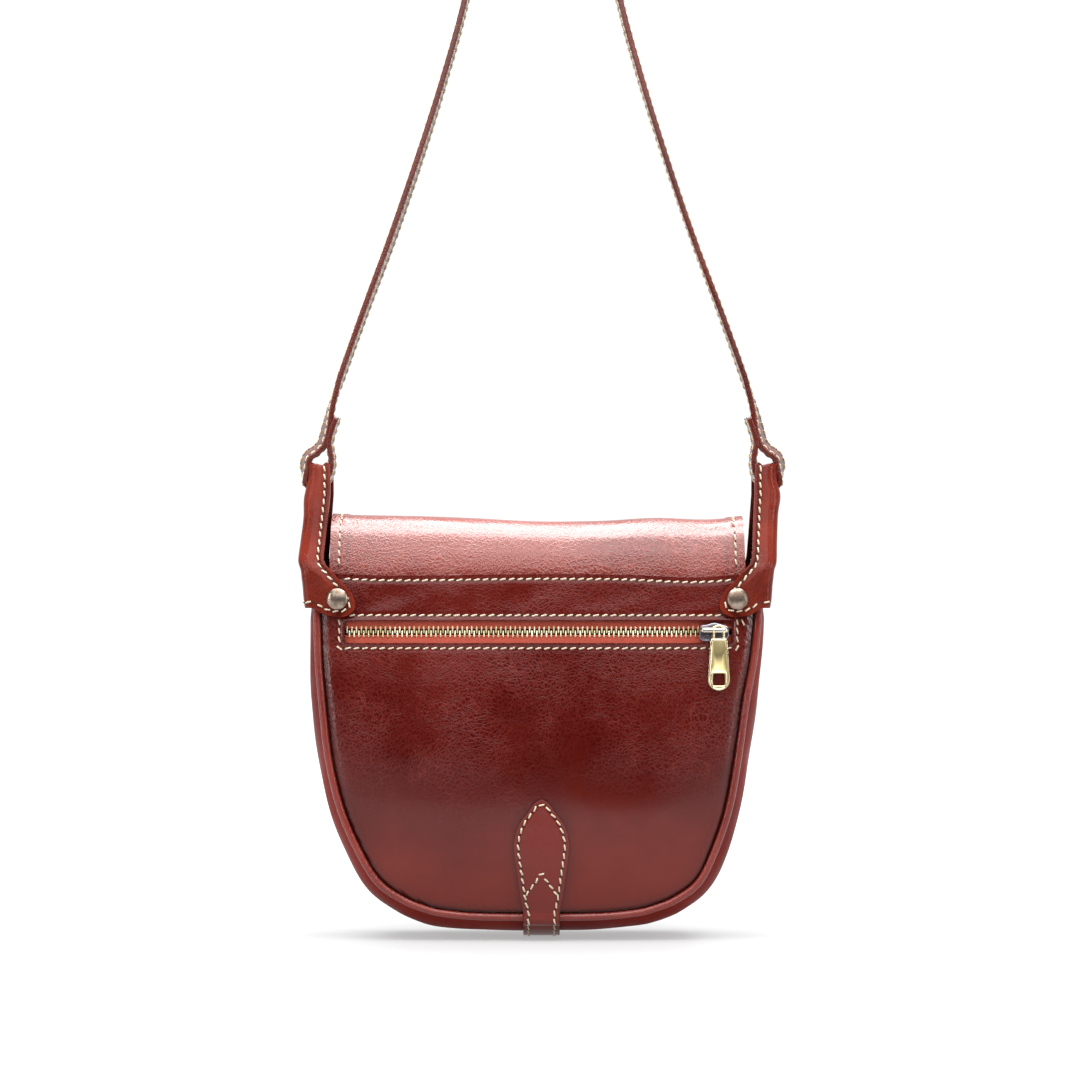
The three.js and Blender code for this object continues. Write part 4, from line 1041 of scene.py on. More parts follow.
def shoulder_strap():
    """Strap: a slim rounded bar carried along the strap's line and turned a little about it."""
    place, side, up = strap_frame()
    section = rounded_bar(STRAP_THICKNESS, STRAP_WIDTH, 0.55)
    piece = tube("shoulder_strap_leather", place, side, up, section, STRAP_LEATHER)
    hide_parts("shoulder_strap")
    return piece


bottom_tab()
shoulder_strap()


SLIDER_FACE = -28.944
SLIDER_HALF_WIDTH = 7.3
SLIDER_HALF_HEIGHT = 4.65
PULL_AXIS = np.array([89.1, -32.344, 153.2])
EYE_HALF = 3.1
PLATE_LOW = -29.6
PLATE_TOP = -4.2
PLATE_TOP_HALF = 4.1
PLATE_END_HALF = 5.4
PLATE_HOLE = 3.0
PLATE_HALF_THICKNESS = 0.8


def zip_tape(name, side):
    """Strip of woven tape just behind the panel, with a rounded bead along its inner edge that the
    teeth grip."""
    x = np.linspace(-WINDOW_HALF_LENGTH - 2, WINDOW_HALF_LENGTH + 2, 160)[:, None] + WINDOW_CENTRE
    rise = shares([1.5, 2.6, 8.9], [8, 14])[None]
    height = ZIP_HEIGHT + side * rise + 0 * x
    bead = 0.35 * dip(rise - 1.9, 0.5)
    sag = 0.12 * ripple(x, height, 71, 24)
    depth = HALF_DEPTH + bulge(x, height) - 0.6 + bead + sag
    grid = np.stack([x + 0 * rise, -depth, height], axis=-1)
    piece = skin(name + "_cloth", grid, ZIP_TAPE, flip=side > 0, wall=0.8, edge=0.15)
    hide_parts(name)
    return piece


TOOTH = table("rise wide deep", [
    (3.05, 0.45, 0.9), (2.85, 0.9, 1.9), (2.2, 0.95, 2.3), (1.3, 0.9, 2.3), (0.95, 0.8, 2.0),
    (0.1, 0.85, 1.9), (-0.6, 0.8, 1.6), (-0.85, 0.4, 0.9),
])


def zip_teeth(name, side):
    """Row of cast teeth: each is a slim bar with an eight-sided section that widens where it grips
    the tape and narrows to a head that meshes with the other row."""
    first = WINDOW_CENTRE - WINDOW_HALF_LENGTH + 1.1 + (0 if side > 0 else TOOTH_PITCH / 2)
    last = SLIDER_CENTRE - 7.6
    middle = np.arange(first, last, TOOTH_PITCH)
    section = ring(8, np.pi / 8) / np.cos(np.pi / 8)
    section = np.sign(section) * np.abs(section) ** 0.75
    size = np.stack([TOOTH["wide"], TOOTH["deep"]], axis=1) / 2
    form = section[None] * size[:, None]
    rise = np.broadcast_to(side * TOOTH["rise"][:, None], form.shape[:2])
    one = np.stack([form[..., 0], form[..., 1], rise], axis=-1).reshape(-1, 3)
    caps = np.stack([[0, 0, side * 3.1], [0, 0, side * -0.95]])
    one = np.concatenate([one, caps])
    depth = -(HALF_DEPTH + bulge(middle, ZIP_HEIGHT)) + 1.05
    jitter = np.random.default_rng(72).normal(0, 0.03, (len(middle), 2))
    height = np.full(len(middle), ZIP_HEIGHT)
    seat = np.stack([middle + jitter[:, 0], depth - 0.05 + jitter[:, 1], height], axis=1)
    shapes = one[None] + seat[:, None]
    faces = cells(len(size), 8, round_columns=True).reshape(-1, 4)
    top, bottom = len(one) - 2, len(one) - 1
    around = np.arange(8)
    final = 8 * (len(size) - 1)
    after = (around + 1) % 8
    start_fan = np.stack([np.full(8, top), after, around], axis=1)
    end_fan = np.stack([np.full(8, bottom), final + around, final + after], axis=1)
    fans = np.concatenate([start_fan, end_fan])
    if side > 0:
        faces, fans = faces[:, ::-1], fans[:, ::-1]
    count = len(middle)
    step = (np.arange(count) * len(one))[:, None, None]
    quads = (faces[None] + step).reshape(-1, 4)
    fans = (fans[None] + step).reshape(-1, 3)
    row = new_mesh(name + "_row", shapes.reshape(-1, 3), quads.tolist() + fans.tolist(), [ZIP_BRASS])
    piece = set_out(row, "bag")
    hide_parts(name)
    return piece


def cushion(outline, levels):
    """Rings of an outline, each moved inwards by its inset and set at its depth: a pressed plate
    with rolled edges. The last ring is nearly the middle."""
    middle = outline.mean(axis=0)
    run = slope(np.concatenate([outline[-1:], outline, outline[:1]]))[1:-1]
    inward = np.stack([-run[:, 1], run[:, 0]], axis=1)
    rings = []
    for inset, depth, toward in levels:
        flat = outline + inward * inset
        flat = flat + (middle - flat) * toward
        rings.append(np.stack([flat[:, 0], np.full(len(flat), depth), flat[:, 1]], axis=1))
    return np.stack(rings)


def slider_body():
    """Body of the slider: a crown-shaped plate with rolled edges and a low dome."""
    corners = np.array([
        (-1, -0.5), (-0.97, -0.75), (-0.8, -1), (0, -1.0), (0.55, -1), (0.92, -0.7), (1, -0.4), (1, 0.4),
        (0.92, 0.62), (0.6, 0.78), (0.3, 0.92), (0.05, 1), (-0.2, 0.94), (-0.5, 0.78), (-0.8, 0.74),
        (-0.97, 0.55), (-1, 0.3),
    ]) * [SLIDER_HALF_WIDTH, SLIDER_HALF_HEIGHT]
    loop = np.concatenate([corners, corners[:1]])
    run = run_along(loop)
    outline = at_lengths(run, loop, np.linspace(0, run[-1], 64, endpoint=False))
    plate = cushion(outline, [
        (2.4, 1.5, 0.9), (2.4, 1.5, 0.0), (0.5, 1.5, 0), (0.15, 1.35, 0), (0, 1.0, 0),
        (0, 0.45, 0), (0.2, 0.12, 0), (0.6, -0.02, 0), (1.2, -0.1, 0), (2.0, -0.16, 0),
        (2.4, -0.18, 0.95),
    ]) + [SLIDER_CENTRE, SLIDER_FACE, ZIP_HEIGHT]
    faces = cells(len(plate), 64, round_columns=True).reshape(-1, 4)
    caps = end_caps(len(plate), 64)
    return mesh_piece("zip_slider_body", plate.reshape(-1, 3), faces, "bag", GUNMETAL, caps=caps)


def slider_bail():
    """The slider's bail: one flattened bar that rises at both ends and carries the pull."""
    angle = np.linspace(0, np.pi / 2, 6)
    reach = SLIDER_HALF_WIDTH - 0.9
    bend = 1.9
    bail_stand = 3.4
    turn = angle[::-1]
    left = np.stack([bend * (1 - np.sin(turn)) - reach, bend * (1 - np.cos(turn)) - bail_stand], axis=1)
    stem = np.array([[-reach, 0.6], [-reach, -0.6]])
    half_line = np.concatenate([stem, left])
    bar = np.stack([np.linspace(bend - reach, 0, 8)[1:], np.full(7, -bail_stand)], axis=1)
    half_line = np.concatenate([half_line, bar])
    line = np.concatenate([half_line, (half_line * [-1, 1])[-2::-1]])
    run = slope(line)
    level = np.full(len(line), PULL_AXIS[2])
    place = np.stack([line[:, 0] + SLIDER_CENTRE, line[:, 1] + SLIDER_FACE, level], axis=1)
    side = np.stack([-run[:, 1], run[:, 0], np.zeros(len(line))], axis=1)
    up = np.tile([0.0, 0.0, 1.0], (len(line), 1))
    section = ring(14) * [0.82, 1.25]
    return tube("zip_slider_bail", place, side, up, section, BAIL_METAL)


def slider_core():
    """Narrow core of the slider between the teeth: a box with rounded edges."""
    corners = np.array([
        [x, y, z] for x in (-7.0, 7.0) for y in (1.2, 4.2) for z in (-2.1, 2.1)
    ]) + [SLIDER_CENTRE, SLIDER_FACE, ZIP_HEIGHT]
    box_faces = np.array([
        (0, 1, 3, 2), (4, 6, 7, 5), (0, 4, 5, 1), (2, 3, 7, 6), (0, 2, 6, 4), (1, 5, 7, 3),
    ])
    core = mesh_piece("zip_slider_core", corners, box_faces, "bag", GUNMETAL)
    return crease(core, 0.3, angle=35)


def zip_slider():
    """The zip's slider: body, bail and core."""
    for piece in (slider_body(), slider_bail(), slider_core()):
        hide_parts("zip_slider")


def toward_edge(angle, half_planes):
    """Distance from the middle to the edge of a convex outline, in each direction: the nearest of
    its straight sides, each given by its outward direction and distance."""
    ray = np.stack([np.cos(angle), np.sin(angle)], axis=1)
    facing = ray @ np.array([side[:2] for side in half_planes]).T
    reach = np.array([side[2] for side in half_planes]) / np.maximum(facing, 1e-6)
    return reach.min(axis=1)


def pull_outline(count, inset):
    """Outline of the pull's plate round the middle of its hole: a round lower end, sides that lean
    in to the top, and a straight top."""
    angle = 2 * np.pi * (np.arange(count) + 0.5) / count
    hole = PLATE_LOW + PLATE_END_HALF
    tall = PLATE_TOP - hole
    lean_in = np.arctan2(PLATE_END_HALF - PLATE_TOP_HALF, tall)
    sides = [(0, 1, tall - inset)]
    turn = 0.9
    corner = (tall - inset) * np.cos(turn) + (PLATE_TOP_HALF - inset) * np.sin(turn) - 0.35
    for way in (-1, 1):
        sides.append((way * np.cos(lean_in), np.sin(lean_in), PLATE_END_HALF * np.cos(lean_in) - inset))
        sides.append((way * np.sin(turn), np.cos(turn), corner))
    reach = toward_edge(angle, sides)
    reach = np.where(np.sin(angle) < 0, PLATE_END_HALF - inset, np.minimum(reach, 99))
    return np.stack([reach * np.cos(angle), reach * np.sin(angle) + hole], axis=1), angle


def hole_outline(angle, half):
    """Square with rounded corners round the middle of the hole."""
    ray = np.stack([np.cos(angle), np.sin(angle)], axis=1)
    reach = half / (np.abs(ray) ** 8).sum(axis=1) ** (1 / 8)
    return ray * reach[:, None] + [0, PLATE_LOW + PLATE_END_HALF]


def pull_plate():
    """Plate of the pull with a raised rim all round and round its square hole, the same on both
    faces."""
    count = 160
    thick = PLATE_HALF_THICKNESS
    recess = thick - 0.32
    loops = []
    looks = []
    for inset, depth, rim in [
        (0.0, -thick + 0.35, 1), (0.1, -thick + 0.1, 1), (0.3, -thick, 1), (0.75, -thick, 1),
        (0.95, -recess, 0),
    ]:
        flat, angle = pull_outline(count, inset)
        loops.append(np.c_[flat[:, 0], np.full(count, depth), flat[:, 1]])
        looks.append(rim)
    for half, depth, rim in [
        (PLATE_HOLE + 0.95, -recess, 1), (PLATE_HOLE + 0.8, -thick, 1), (PLATE_HOLE + 0.25, -thick, 1),
        (PLATE_HOLE, -thick + 0.25, 1),
    ]:
        flat = hole_outline(angle, half)
        loops.append(np.c_[flat[:, 0], np.full(count, depth), flat[:, 1]])
        looks.append(rim)
    front = np.stack(loops)
    grid = np.concatenate([front, (front * [1, -1, 1])[::-1]])
    looks = np.array(looks + looks[::-1])
    faces = cells(len(grid), count, round_rows=True, round_columns=True)
    recessed = (looks == 0) & (np.roll(looks, -1) == 1)
    recessed |= (np.roll(looks, -1) == 0) & (looks == 1) & (np.arange(len(looks)) > len(front))
    slots = np.broadcast_to(np.where(recessed, 0, 1)[:, None], faces.shape[:2]).ravel()
    return mesh_piece(
        "zip_pull_plate", (grid + PULL_AXIS).reshape(-1, 3), faces.reshape(-1, 4), "pull",
        [PULL_BRASS, PULL_RIM], slots=slots,
    )


def pull_eye():
    """Eye of the pull: round wire from the plate up and over the bail."""
    turn = np.linspace(0, np.pi, 13)
    wire = 0.6
    top = EYE_HALF - wire
    arch = np.stack([-top * np.cos(turn), 0.25 + 1.95 * np.sin(turn)], axis=1)
    legs = np.array([[-top, PLATE_TOP - 0.9], [-top, PLATE_TOP + 0.3], [-top, -1.5]])
    line = np.concatenate([legs, arch, (legs * [-1, 1])[::-1]])
    run = slope(line)
    place = np.c_[line[:, 0], np.zeros(len(line)), line[:, 1]] + PULL_AXIS
    side = np.c_[run[:, 1], np.zeros(len(line)), -run[:, 0]]
    up = np.tile([0.0, 1.0, 0.0], (len(line), 1))
    return tube("zip_pull_eye", place, side, up, ring(12) * [wire, 0.72], PULL_RIM, body="pull")


def pull_cheeks():
    """Two bored cheeks of the pull, which turn on the bail."""
    cheeks = []
    profile = np.array([(1.5, -0.6), (1.9, -0.6), (2.1, -0.35), (2.1, 0.35), (1.9, 0.6), (1.5, 0.6)])
    around = ring(28)
    for way in (-1, 1):
        washer = np.stack(np.broadcast_arrays(
            way * (EYE_HALF - 0.6) + profile[:, 1][:, None],
            profile[:, :1] * around[None, :, 0], profile[:, :1] * around[None, :, 1],
        ), axis=-1)
        cheeks.append(washer.reshape(-1, 3))
    cheek_faces = cells(len(profile), 28, round_rows=True, round_columns=True).reshape(-1, 4)
    return many("zip_pull_cheeks", np.stack(cheeks) + PULL_AXIS, cheek_faces, PULL_RIM, "pull")


def zip_pull():
    """The zip's pull: plate, eye and cheeks, which turn together on the bail."""
    for piece in (pull_plate(), pull_eye(), pull_cheeks()):
        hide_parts("zip_pull")


def dome(name, node, middle, facing, across, radius, rise):
    """Turned head: a thin skirt, a rolled shoulder and a low crown, as rings round its axis, which
    faces along facing."""
    share = np.array([
        (0.02, -0.02), (0.9, -0.02), (0.985, 0.02), (1.0, 0.12), (1.0, 0.24), (0.975, 0.33), (0.93, 0.42),
        (0.86, 0.55), (0.76, 0.68), (0.64, 0.79), (0.5, 0.88), (0.35, 0.95), (0.18, 0.99), (0.02, 1.0),
    ])
    third = np.cross(facing, across)
    spin = ring(40)
    flat = spin[:, :1] * across + spin[:, 1:] * third
    grid = middle + share[:, :1, None] * radius * flat[None] + share[:, 1:, None] * rise * facing
    faces = cells(len(grid), 40, round_columns=True).reshape(-1, 4)
    piece = mesh_piece(name, grid.reshape(-1, 3), faces, "bag", ANTIQUE, caps=end_caps(len(grid), 40))
    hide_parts(node)
    return piece


def rivet(end, side, face_name, face):
    """Rivet head on a lobe, tilted with the bulge under it."""
    inner = float(bulge(RIVET_SIDE - RIVET_RADIUS, RIVET_HEIGHT))
    outer = float(bulge(RIVET_SIDE + RIVET_RADIUS, RIVET_HEIGHT))
    tilt = np.arctan2(inner - outer, 2 * RIVET_RADIUS)
    middle = np.array([side * RIVET_SIDE, face * (EAR_FACE + (inner + outer) / 2 + 0.35), RIVET_HEIGHT])
    facing = np.array([side * np.sin(tilt), face * np.cos(tilt), 0])
    across = np.array([np.cos(tilt), -side * face * np.sin(tilt), 0])
    name = f"rivet_{face_name}_{end}"
    return dome(name + "_head", name, middle, facing, across, RIVET_RADIUS, 2.3)


zip_tape("zip_tape_upper", 1)
zip_tape("zip_tape_lower", -1)
zip_teeth("zip_teeth_upper", 1)
zip_teeth("zip_teeth_lower", -1)
zip_slider()
zip_pull()
for end, side in (("left", -1), ("right", 1)):
    rivet(end, side, "back", -1)
    rivet(end, side, "front", 1)
stud_seat = np.array([TAB_CENTRE, float(flap_front(STUD_HEIGHT)) + TAB_THICKNESS + 0.5, STUD_HEIGHT])
dome("tab_stud_head", "tab_stud", stud_seat, np.array([0, 1, 0]), np.array([1, 0, 0]), 6.0, 3.0)


def thread_bars(places, outward, run, count, draw):
    """Bars of thread along a line: rings of six places, thinner and lower towards both ends, round
    a middle line that is a little slanted. Slant and length vary a little by chance."""
    step = run[-1] / count
    middle = (np.arange(count) + 0.5) * step
    centre = at_lengths(run, places, middle)
    out = unit(at_lengths(run, outward, middle))
    along = unit(at_lengths(run, places, middle + 0.6) - at_lengths(run, places, middle - 0.6))
    aside = unit(np.cross(out, along))
    along = unit(along + aside * (STITCH_SLANT + draw.normal(0, 0.03, (count, 1))))
    aside = unit(np.cross(out, along))
    uneven = 1 + draw.normal(0, 0.03, (count, 1, 1, 1))
    length = STITCH_LENGTH * (step / STITCH_PITCH) * uneven
    share = np.array([-1, -0.93, -0.6, 0, 0.6, 0.93, 1])
    rise = np.array([-0.55, -0.12, 0.16, 0.24, 0.16, -0.12, -0.55])
    thick = np.array([0.55, 0.9, 1.0, 1.02, 1.0, 0.9, 0.55]) * THREAD_RADIUS
    spin = ring(6)
    bar = (
        centre[:, None, None]
        + along[:, None, None] * share[None, :, None, None] * length / 2
        + out[:, None, None] * (rise[:, None, None] + thick[:, None, None] * spin[None, :, 1:])[None]
        + aside[:, None, None] * (thick[:, None, None] * spin[None, :, :1])[None]
    )
    return bar.reshape(count, -1, 3)


def hole_shade_discs(places, outward, run, count):
    """Dark oval discs of painted shade where the thread dives in: a ring of eight just above the
    face and a smaller ring below it."""
    edge = ring(8) * [0.62, 0.42]
    between = np.arange(count + 1) * run[-1] / count
    hole = at_lengths(run, places, between)[:, None]
    out = unit(at_lengths(run, outward, between))
    ahead = at_lengths(run, places, np.minimum(between + 0.5, run[-1]))
    along = unit(ahead - at_lengths(run, places, np.maximum(between - 0.5, 0)))
    aside = np.cross(out, along)[:, None]
    disc = (
        hole + along[:, None] * edge[None, :, :1] + aside * edge[None, :, 1:] + out[:, None] * 0.05
    )
    low = hole + (disc - hole) * 0.9 - out[:, None] * 0.3
    return np.concatenate([low, disc], axis=1)


def stitches(name, rows):
    """Stitches along lines of places with their outward directions: each is a six-sided bar of
    thread whose ends dive into the leather, a little slanted, with a dark disc of painted shade
    for the hole at each end."""
    bars, hole_shades = [], []
    draw = np.random.default_rng(len(name))
    for places, outward in rows:
        run = run_along(places)
        count = max(int(round(run[-1] / STITCH_PITCH)), 1)
        bars.append(thread_bars(places, outward, run, count, draw))
        hole_shades.append(hole_shade_discs(places, outward, run, count))
    ends = np.array([[0, 1, 2, 3], [0, 3, 4, 5]])
    last_ring = 6 * 6
    bar_faces = np.concatenate([
        cells(7, 6, round_columns=True).reshape(-1, 4)[:, ::-1], ends, (ends + last_ring)[:, ::-1],
    ])[:, ::-1]
    thread = many(name + "_thread", np.concatenate(bars), bar_faces, THREAD)
    disc_faces = np.concatenate([
        cells(2, 8, round_columns=True).reshape(-1, 4),
        np.array([[8, 9, 10, 11], [8, 11, 12, 15], [12, 13, 14, 15]]),
        np.array([[0, 3, 2, 1], [0, 7, 4, 3], [4, 7, 6, 5]]),
    ])
    hole_shade_piece = many(name + "_holes", np.concatenate(hole_shades), disc_faces, STITCH_HOLE_SHADE)
    return thread


def trail(points, step=0.4):
    """Straight runs between points, with a place every step."""
    points = np.array(points, float)
    run = run_along(points)
    even = np.linspace(0, run[-1], int(run[-1] / step) + 2)
    return at_lengths(run, points, even)


def on_panel(points):
    """Places and outward directions of a line on the back panel: outwards is the slope of its depth."""
    flat = trail(points)
    x, height = flat.T
    step = 0.8

    def smooth_depth(x, height):
        """Depth without the grooves, for the lie of the thread."""
        return panel_depth(x, height) - 0.12

    slope_x = (smooth_depth(x + step, height) - smooth_depth(x - step, height)) / (2 * step)
    slope_z = (smooth_depth(x, height + step) - smooth_depth(x, height - step)) / (2 * step)
    places = np.stack([x, -back_depth(x, height), height], axis=1)
    outward = unit(np.stack([-slope_x, -np.ones_like(x), -slope_z], axis=1))
    return places, outward


def panel_stitches():
    """Lines of thread on the back panel: under its top edge, above the zip, round three sides of
    the window, and a slanted back-tack at its upper right corner."""
    x = np.linspace(-96, 96, 60)
    top = np.stack([x, top_edge(x) - TOP_STITCHES], axis=1)
    left = WINDOW_CENTRE - WINDOW_HALF_LENGTH - WINDOW_STITCHES
    right = WINDOW_CENTRE + WINDOW_HALF_LENGTH + WINDOW_STITCHES
    low = ZIP_HEIGHT - WINDOW_HALF_HEIGHT - WINDOW_STITCHES
    high = ZIP_HEIGHT + WINDOW_HALF_HEIGHT + 1.5
    rows = [
        on_panel(top), on_panel([(left, LOWER_STITCHES), (91, LOWER_STITCHES)]),
        on_panel([(left, high), (left, low), (right, low), (right, high)]),
        on_panel([(right + 2.2, high), (right + 3.4, high - 4.4)]),
    ]
    stitches("back_panel", rows)


def from_grid(grid, flat):
    """Depth of a face at places in x and height, from the four nearest places of its grid."""
    known = grid.reshape(-1, 3)
    apart = ((flat[:, None] - known[None, :, [0, 2]]) ** 2).sum(axis=-1)
    near = np.argsort(apart, axis=1)[:, :4]
    weight = 1 / (np.take_along_axis(apart, near, axis=1) + 0.01)
    return (known[near, 1] * weight).sum(axis=1) / weight.sum(axis=1)


def ear_stitches(end, side):
    """Line of thread a little inside the flange's edge, down from the bridge, round the lobe and
    out along its lower edge, on the outer and inner face of both flanges."""
    grid = ear_grid()
    flange = grid[:, :26]
    edge = np.concatenate([flange[::-1, 0], flange[0, 1:]])[:, [0, 2]]
    edge = trail(edge, 0.8)
    run = slope(edge)
    kernel = np.ones(9) / 9
    soft = np.stack([np.convolve(np.pad(c, 4, mode="edge"), kernel, mode="valid") for c in run.T], axis=1)
    inward = unit(np.stack([-soft[:, 1], soft[:, 0]], axis=1))
    flat = edge + inward * EAR_STITCH_INSET
    flat = flat[(flat[:, 1] < EAR_TOP - 1.5)]
    y = from_grid(flange, flat)
    lie = slope(np.stack([flat[:, 0], y, flat[:, 1]], axis=1))
    outward = unit(np.cross(lie, np.stack([inward[: len(lie), 0], 0 * y, inward[: len(lie), 1]], axis=1)))
    outward *= -np.sign(outward[:, 1:2])
    rows = []
    for face in (-1, 1):
        for depth, way in ((0.0, 1), (WALL, -1)):
            places = np.stack([flat[:, 0], y, flat[:, 1]], axis=1) - outward * depth
            turn = np.array([side, -face, 1])
            row = places * turn
            row[:, 0] += lean(places[:, 2])
            rows.append((row, outward * turn * way))
    wall = grid[:, 25:-25]
    level = wall[0, :, 2] + EAR_STITCH_INSET
    row = np.argmax(wall[..., 2] > level, axis=0)[None]
    under = np.take_along_axis(wall, np.repeat(row[..., None] - 1, 3, axis=-1), axis=0)[0]
    over = np.take_along_axis(wall, np.repeat(row[..., None], 3, axis=-1), axis=0)[0]
    share = ((level - under[:, 2]) / (over[:, 2] - under[:, 2]))[:, None]
    across = under + (over - under) * share
    facing = slope(across)
    facing = unit(np.stack([facing[:, 1], -facing[:, 0], 0 * level], axis=1))
    turn = np.array([side, 1, 1])
    band = across * turn
    band[:, 0] += lean(across[:, 2])
    rows.append((band, facing * turn))
    stitches("ear_" + end, rows)


def flap_stitches():
    """Lines of thread along the folded sides of the flap and round its lower end."""
    line = flap_line(600)
    rows = []
    run = slope(line[:, :2])
    out = np.stack([0 * run[:, 0], -run[:, 1], run[:, 0]], axis=1)
    start, last = 36, 585
    for way in (-1, 1):
        x = way * (line[:, 2:3] - FLAP_STITCH_INSET)
        places = flap_face(line, x)[:, 0]
        rows.append((places[start:last], out[start:last]))
    x = np.linspace(-1, 1, 60) * (line[last, 2] - FLAP_STITCH_INSET)
    across = flap_face(line[last - 1 : last + 2], np.tile(x, (3, 1)))[1]
    rows.append((across, np.tile(out[last], (60, 1))))
    stitches("flap", rows)


def tab_stitches():
    """Line of thread inside the tab's edge from its tip down both sides, with a pointed chevron
    across it, and on round the base."""
    line, out = tab_frame(600)
    run = run_along(line[:, :2])

    def place(x, length):
        """Place and outward direction at a distance along the tab and across it."""
        columns = [np.interp(length, run, c) for c in (line[:, 0], line[:, 1], out[:, 0], out[:, 1])]
        depth, height, out_y, out_z = columns
        lift = TAB_THICKNESS - 0.1
        return (
            np.stack([TAB_CENTRE + x, depth + out_y * lift, height + out_z * lift], axis=1),
            np.stack([0 * x, out_y, out_z], axis=1),
        )

    half = line[:, 2]
    length = np.linspace(3.0, run[-1] - TAB_STITCH_INSET, 500)
    width = np.maximum(np.interp(length, run, half) - TAB_STITCH_INSET, 0.0)
    edge = place(np.r_[-width[::-1], width], np.r_[length[::-1], length])
    neck = float(np.interp(48.0, run, half)) - TAB_STITCH_INSET
    chevron = trail([(-neck, 48.2), (0, 36.8), (neck, 48.2)])
    stitches("bottom_tab", [edge, place(chevron[:, 0], chevron[:, 1])])


def strap_stitches():
    """Lines of thread along both edges of the strap, on its outer and inner face."""
    place, side, up = strap_frame()
    for name, face in (("strap_outer", 1), ("strap_inner", -1)):
        rows = []
        for edge in (-1, 1):
            row = place + side * face * STRAP_THICKNESS / 2
            row += up * edge * (STRAP_WIDTH / 2 - STRAP_STITCH_INSET)
            rows.append((row, side * face))
        stitches(name, rows)


panel_stitches()
ear_stitches("left", -1)
ear_stitches("right", 1)
flap_stitches()
tab_stitches()
strap_stitches()


def studio_air():
    """Soft light from above and from behind the bag, and a white backdrop for the camera alone."""
    world = bpy.data.worlds.new("studio_air")
    bpy.context.scene.world = world
    world.use_nodes = True
    tree = world.node_tree
    toward = tree.nodes.new("ShaderNodeTexCoord").outputs["Generated"]
    parts = tree.nodes.new("ShaderNodeSeparateXYZ")
    tree.links.new(toward, parts.inputs[0])

    def light_over(direction, low, high, dim, bright):
        """Light that grows from dim to bright between two shares of a direction."""
        growth = tree.nodes.new("ShaderNodeMapRange")
        growth.inputs["From Min"].default_value = low
        growth.inputs["From Max"].default_value = high
        growth.inputs["To Min"].default_value = dim
        growth.inputs["To Max"].default_value = bright
        tree.links.new(parts.outputs[direction], growth.inputs["Value"])
        return growth

    rise = light_over("Z", 0.35, 0.95, SIDE_LIGHT, SKY_LIGHT)
    behind = light_over("Y", 0.0, 0.6, 0.0, BACK_LIGHT)
    total = tree.nodes.new("ShaderNodeMath")
    total.operation = "ADD"
    tree.links.new(rise.outputs[0], total.inputs[0])
    tree.links.new(behind.outputs[0], total.inputs[1])
    seen = tree.nodes.new("ShaderNodeLightPath")
    chosen = tree.nodes.new("ShaderNodeMix")
    tree.links.new(seen.outputs["Is Camera Ray"], chosen.inputs[0])
    tree.links.new(total.outputs[0], chosen.inputs[2])
    chosen.inputs[3].default_value = BACKDROP_LIGHT
    air = tree.nodes["Background"]
    air.inputs["Color"].default_value = (1, 1, 1, 1)
    tree.links.new(chosen.outputs[0], air.inputs["Strength"])


def lamps():
    """Soft rectangular lamps, each turned to its aim."""
    for name, place, aim, size, power in LAMPS:
        data = bpy.data.lights.new(name, "AREA")
        data.shape = "RECTANGLE"
        data.size, data.size_y = size
        data.energy = power
        lamp = bpy.data.objects.new(name, data)
        bpy.context.scene.collection.objects.link(lamp)
        lamp.location = place
        lamp.rotation_euler = (Vector(aim) - Vector(place)).to_track_quat("-Z", "Y").to_euler()


def studio():
    """Pale floor, soft light and the camera at the photograph's angle."""
    table_top()
    studio_air()
    lamps()
    scene = bpy.context.scene
    lens = bpy.data.cameras.new("camera")
    lens.sensor_width = SENSOR_WIDTH
    lens.lens = SENSOR_WIDTH * CAMERA_DISTANCE / FRAME_WIDTH
    lens.clip_end = 100
    camera = bpy.data.objects.new("camera", lens)
    scene.collection.objects.link(camera)
    camera.location = (CAMERA_X, -CAMERA_DISTANCE, CAMERA_HEIGHT)
    camera.rotation_euler = (np.pi / 2, 0, 0)
    scene.camera = camera
    scene.view_settings.view_transform = "Standard"


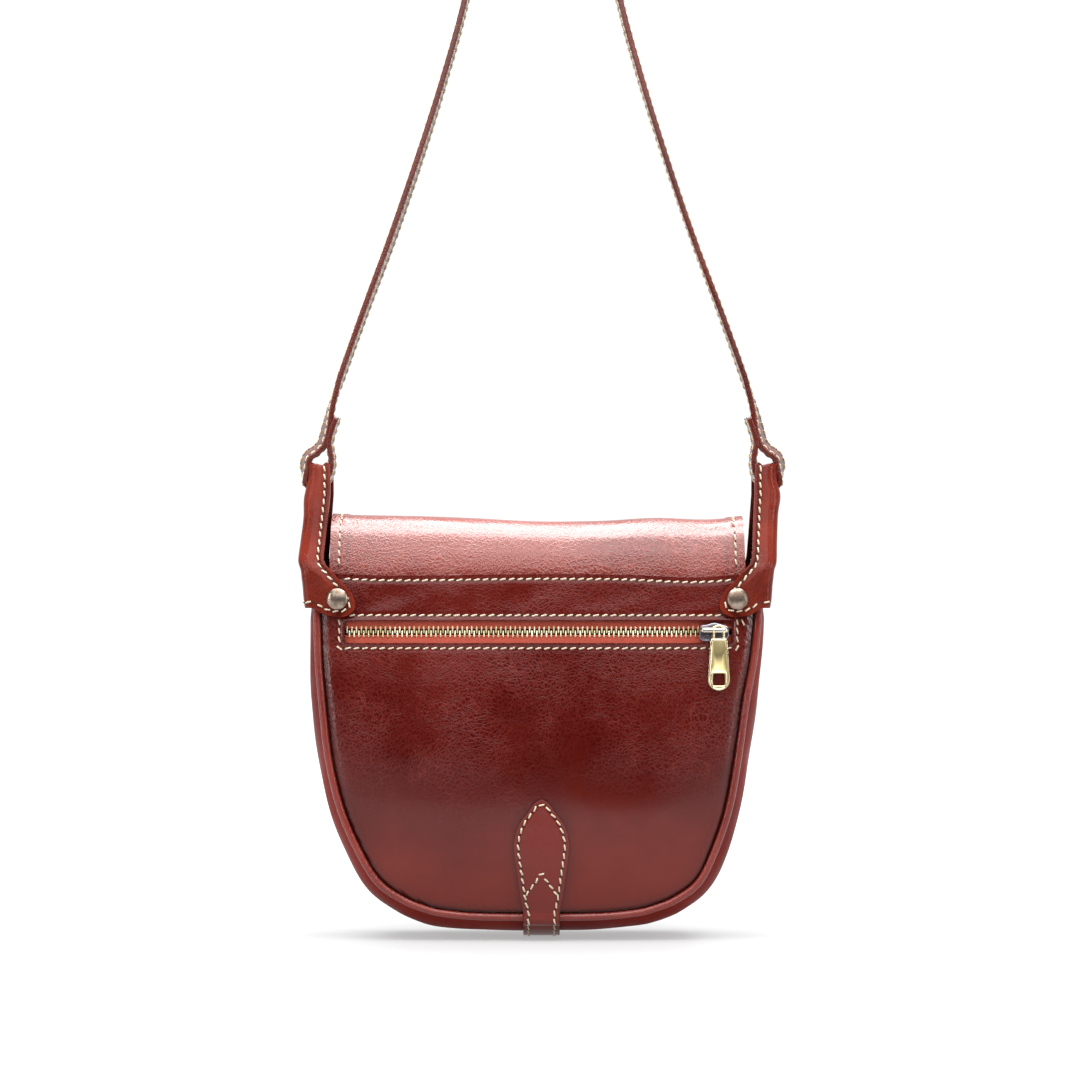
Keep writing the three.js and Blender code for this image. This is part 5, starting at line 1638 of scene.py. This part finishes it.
def table_top():
    """Pale table just under the bag, with its front edge towards the camera; it glows as painted light."""
    mesh = bpy.data.meshes.new("floor")
    places = [
        (-TABLE_HALF_WIDTH, TABLE_FRONT, FLOOR_HEIGHT), (TABLE_HALF_WIDTH, TABLE_FRONT, FLOOR_HEIGHT),
        (TABLE_HALF_WIDTH, TABLE_BACK, FLOOR_HEIGHT), (-TABLE_HALF_WIDTH, TABLE_BACK, FLOOR_HEIGHT),
    ]
    mesh.from_pydata(places, [], [(0, 1, 2, 3)])
    look, shader = bare_look("pale_floor", 0.6, colour=(*FLOOR_TONE, 1), Specular_IOR_Level=0.2)
    # Painted light: the floor glows, evenly under the bag, more well in front of it and most far behind it,
    # which lights the bag's lower faces and pales the shadow under it.
    shader.inputs["Emission Color"].default_value = (1, 1, 1, 1)
    depth = add(look, "SeparateXYZ", {0: add(look, "TexCoord").outputs["Object"]}).outputs["Y"]
    far_glow = remap(look, depth, 0.05, 0.6, 0.38, 1.0)
    near_glow = remap(look, depth, -0.4, -0.15, 0.25, 0.0)
    join_to(look, maths(look, "ADD", far_glow, near_glow), shader, "Emission Strength")
    mesh.materials.append(look)
    floor = bpy.data.objects.new("floor", mesh)
    bpy.context.scene.collection.objects.link(floor)
    return floor


SENSOR_WIDTH = 36
CAMERA_DISTANCE = 1.8
FRAME_WIDTH = 0.54
CAMERA_X = -0.00125
CAMERA_HEIGHT = -0.520
FLOOR_HEIGHT = -0.7178
TABLE_FRONT = -0.60
TABLE_BACK = 12.0
TABLE_HALF_WIDTH = 8.0
FLOOR_TONE = (0.22, 0.22, 0.223)
SIDE_LIGHT = 0.04
SKY_LIGHT = 0.35
BACK_LIGHT = 0.7
BACKDROP_LIGHT = 1.05
# Name, place, aim, size and power of each soft lamp.
LAMPS = [
    ("overhead", (0.0, 0.05, 0.45), (0.0, 0.051, -0.55), (1.4, 1.3), 57),
    ("front_top", (0.0, -0.98, 0.19), (0.0, 0.0, -0.53), (1.8, 1.02), 17),
    ("left_strip", (-1.2, -0.55, -0.40), (0.0, 0.0, -0.58), (0.22, 1.0), 6),
    ("right_strip", (1.2, -0.55, -0.40), (0.0, 0.0, -0.58), (0.22, 1.0), 6),
]

studio()
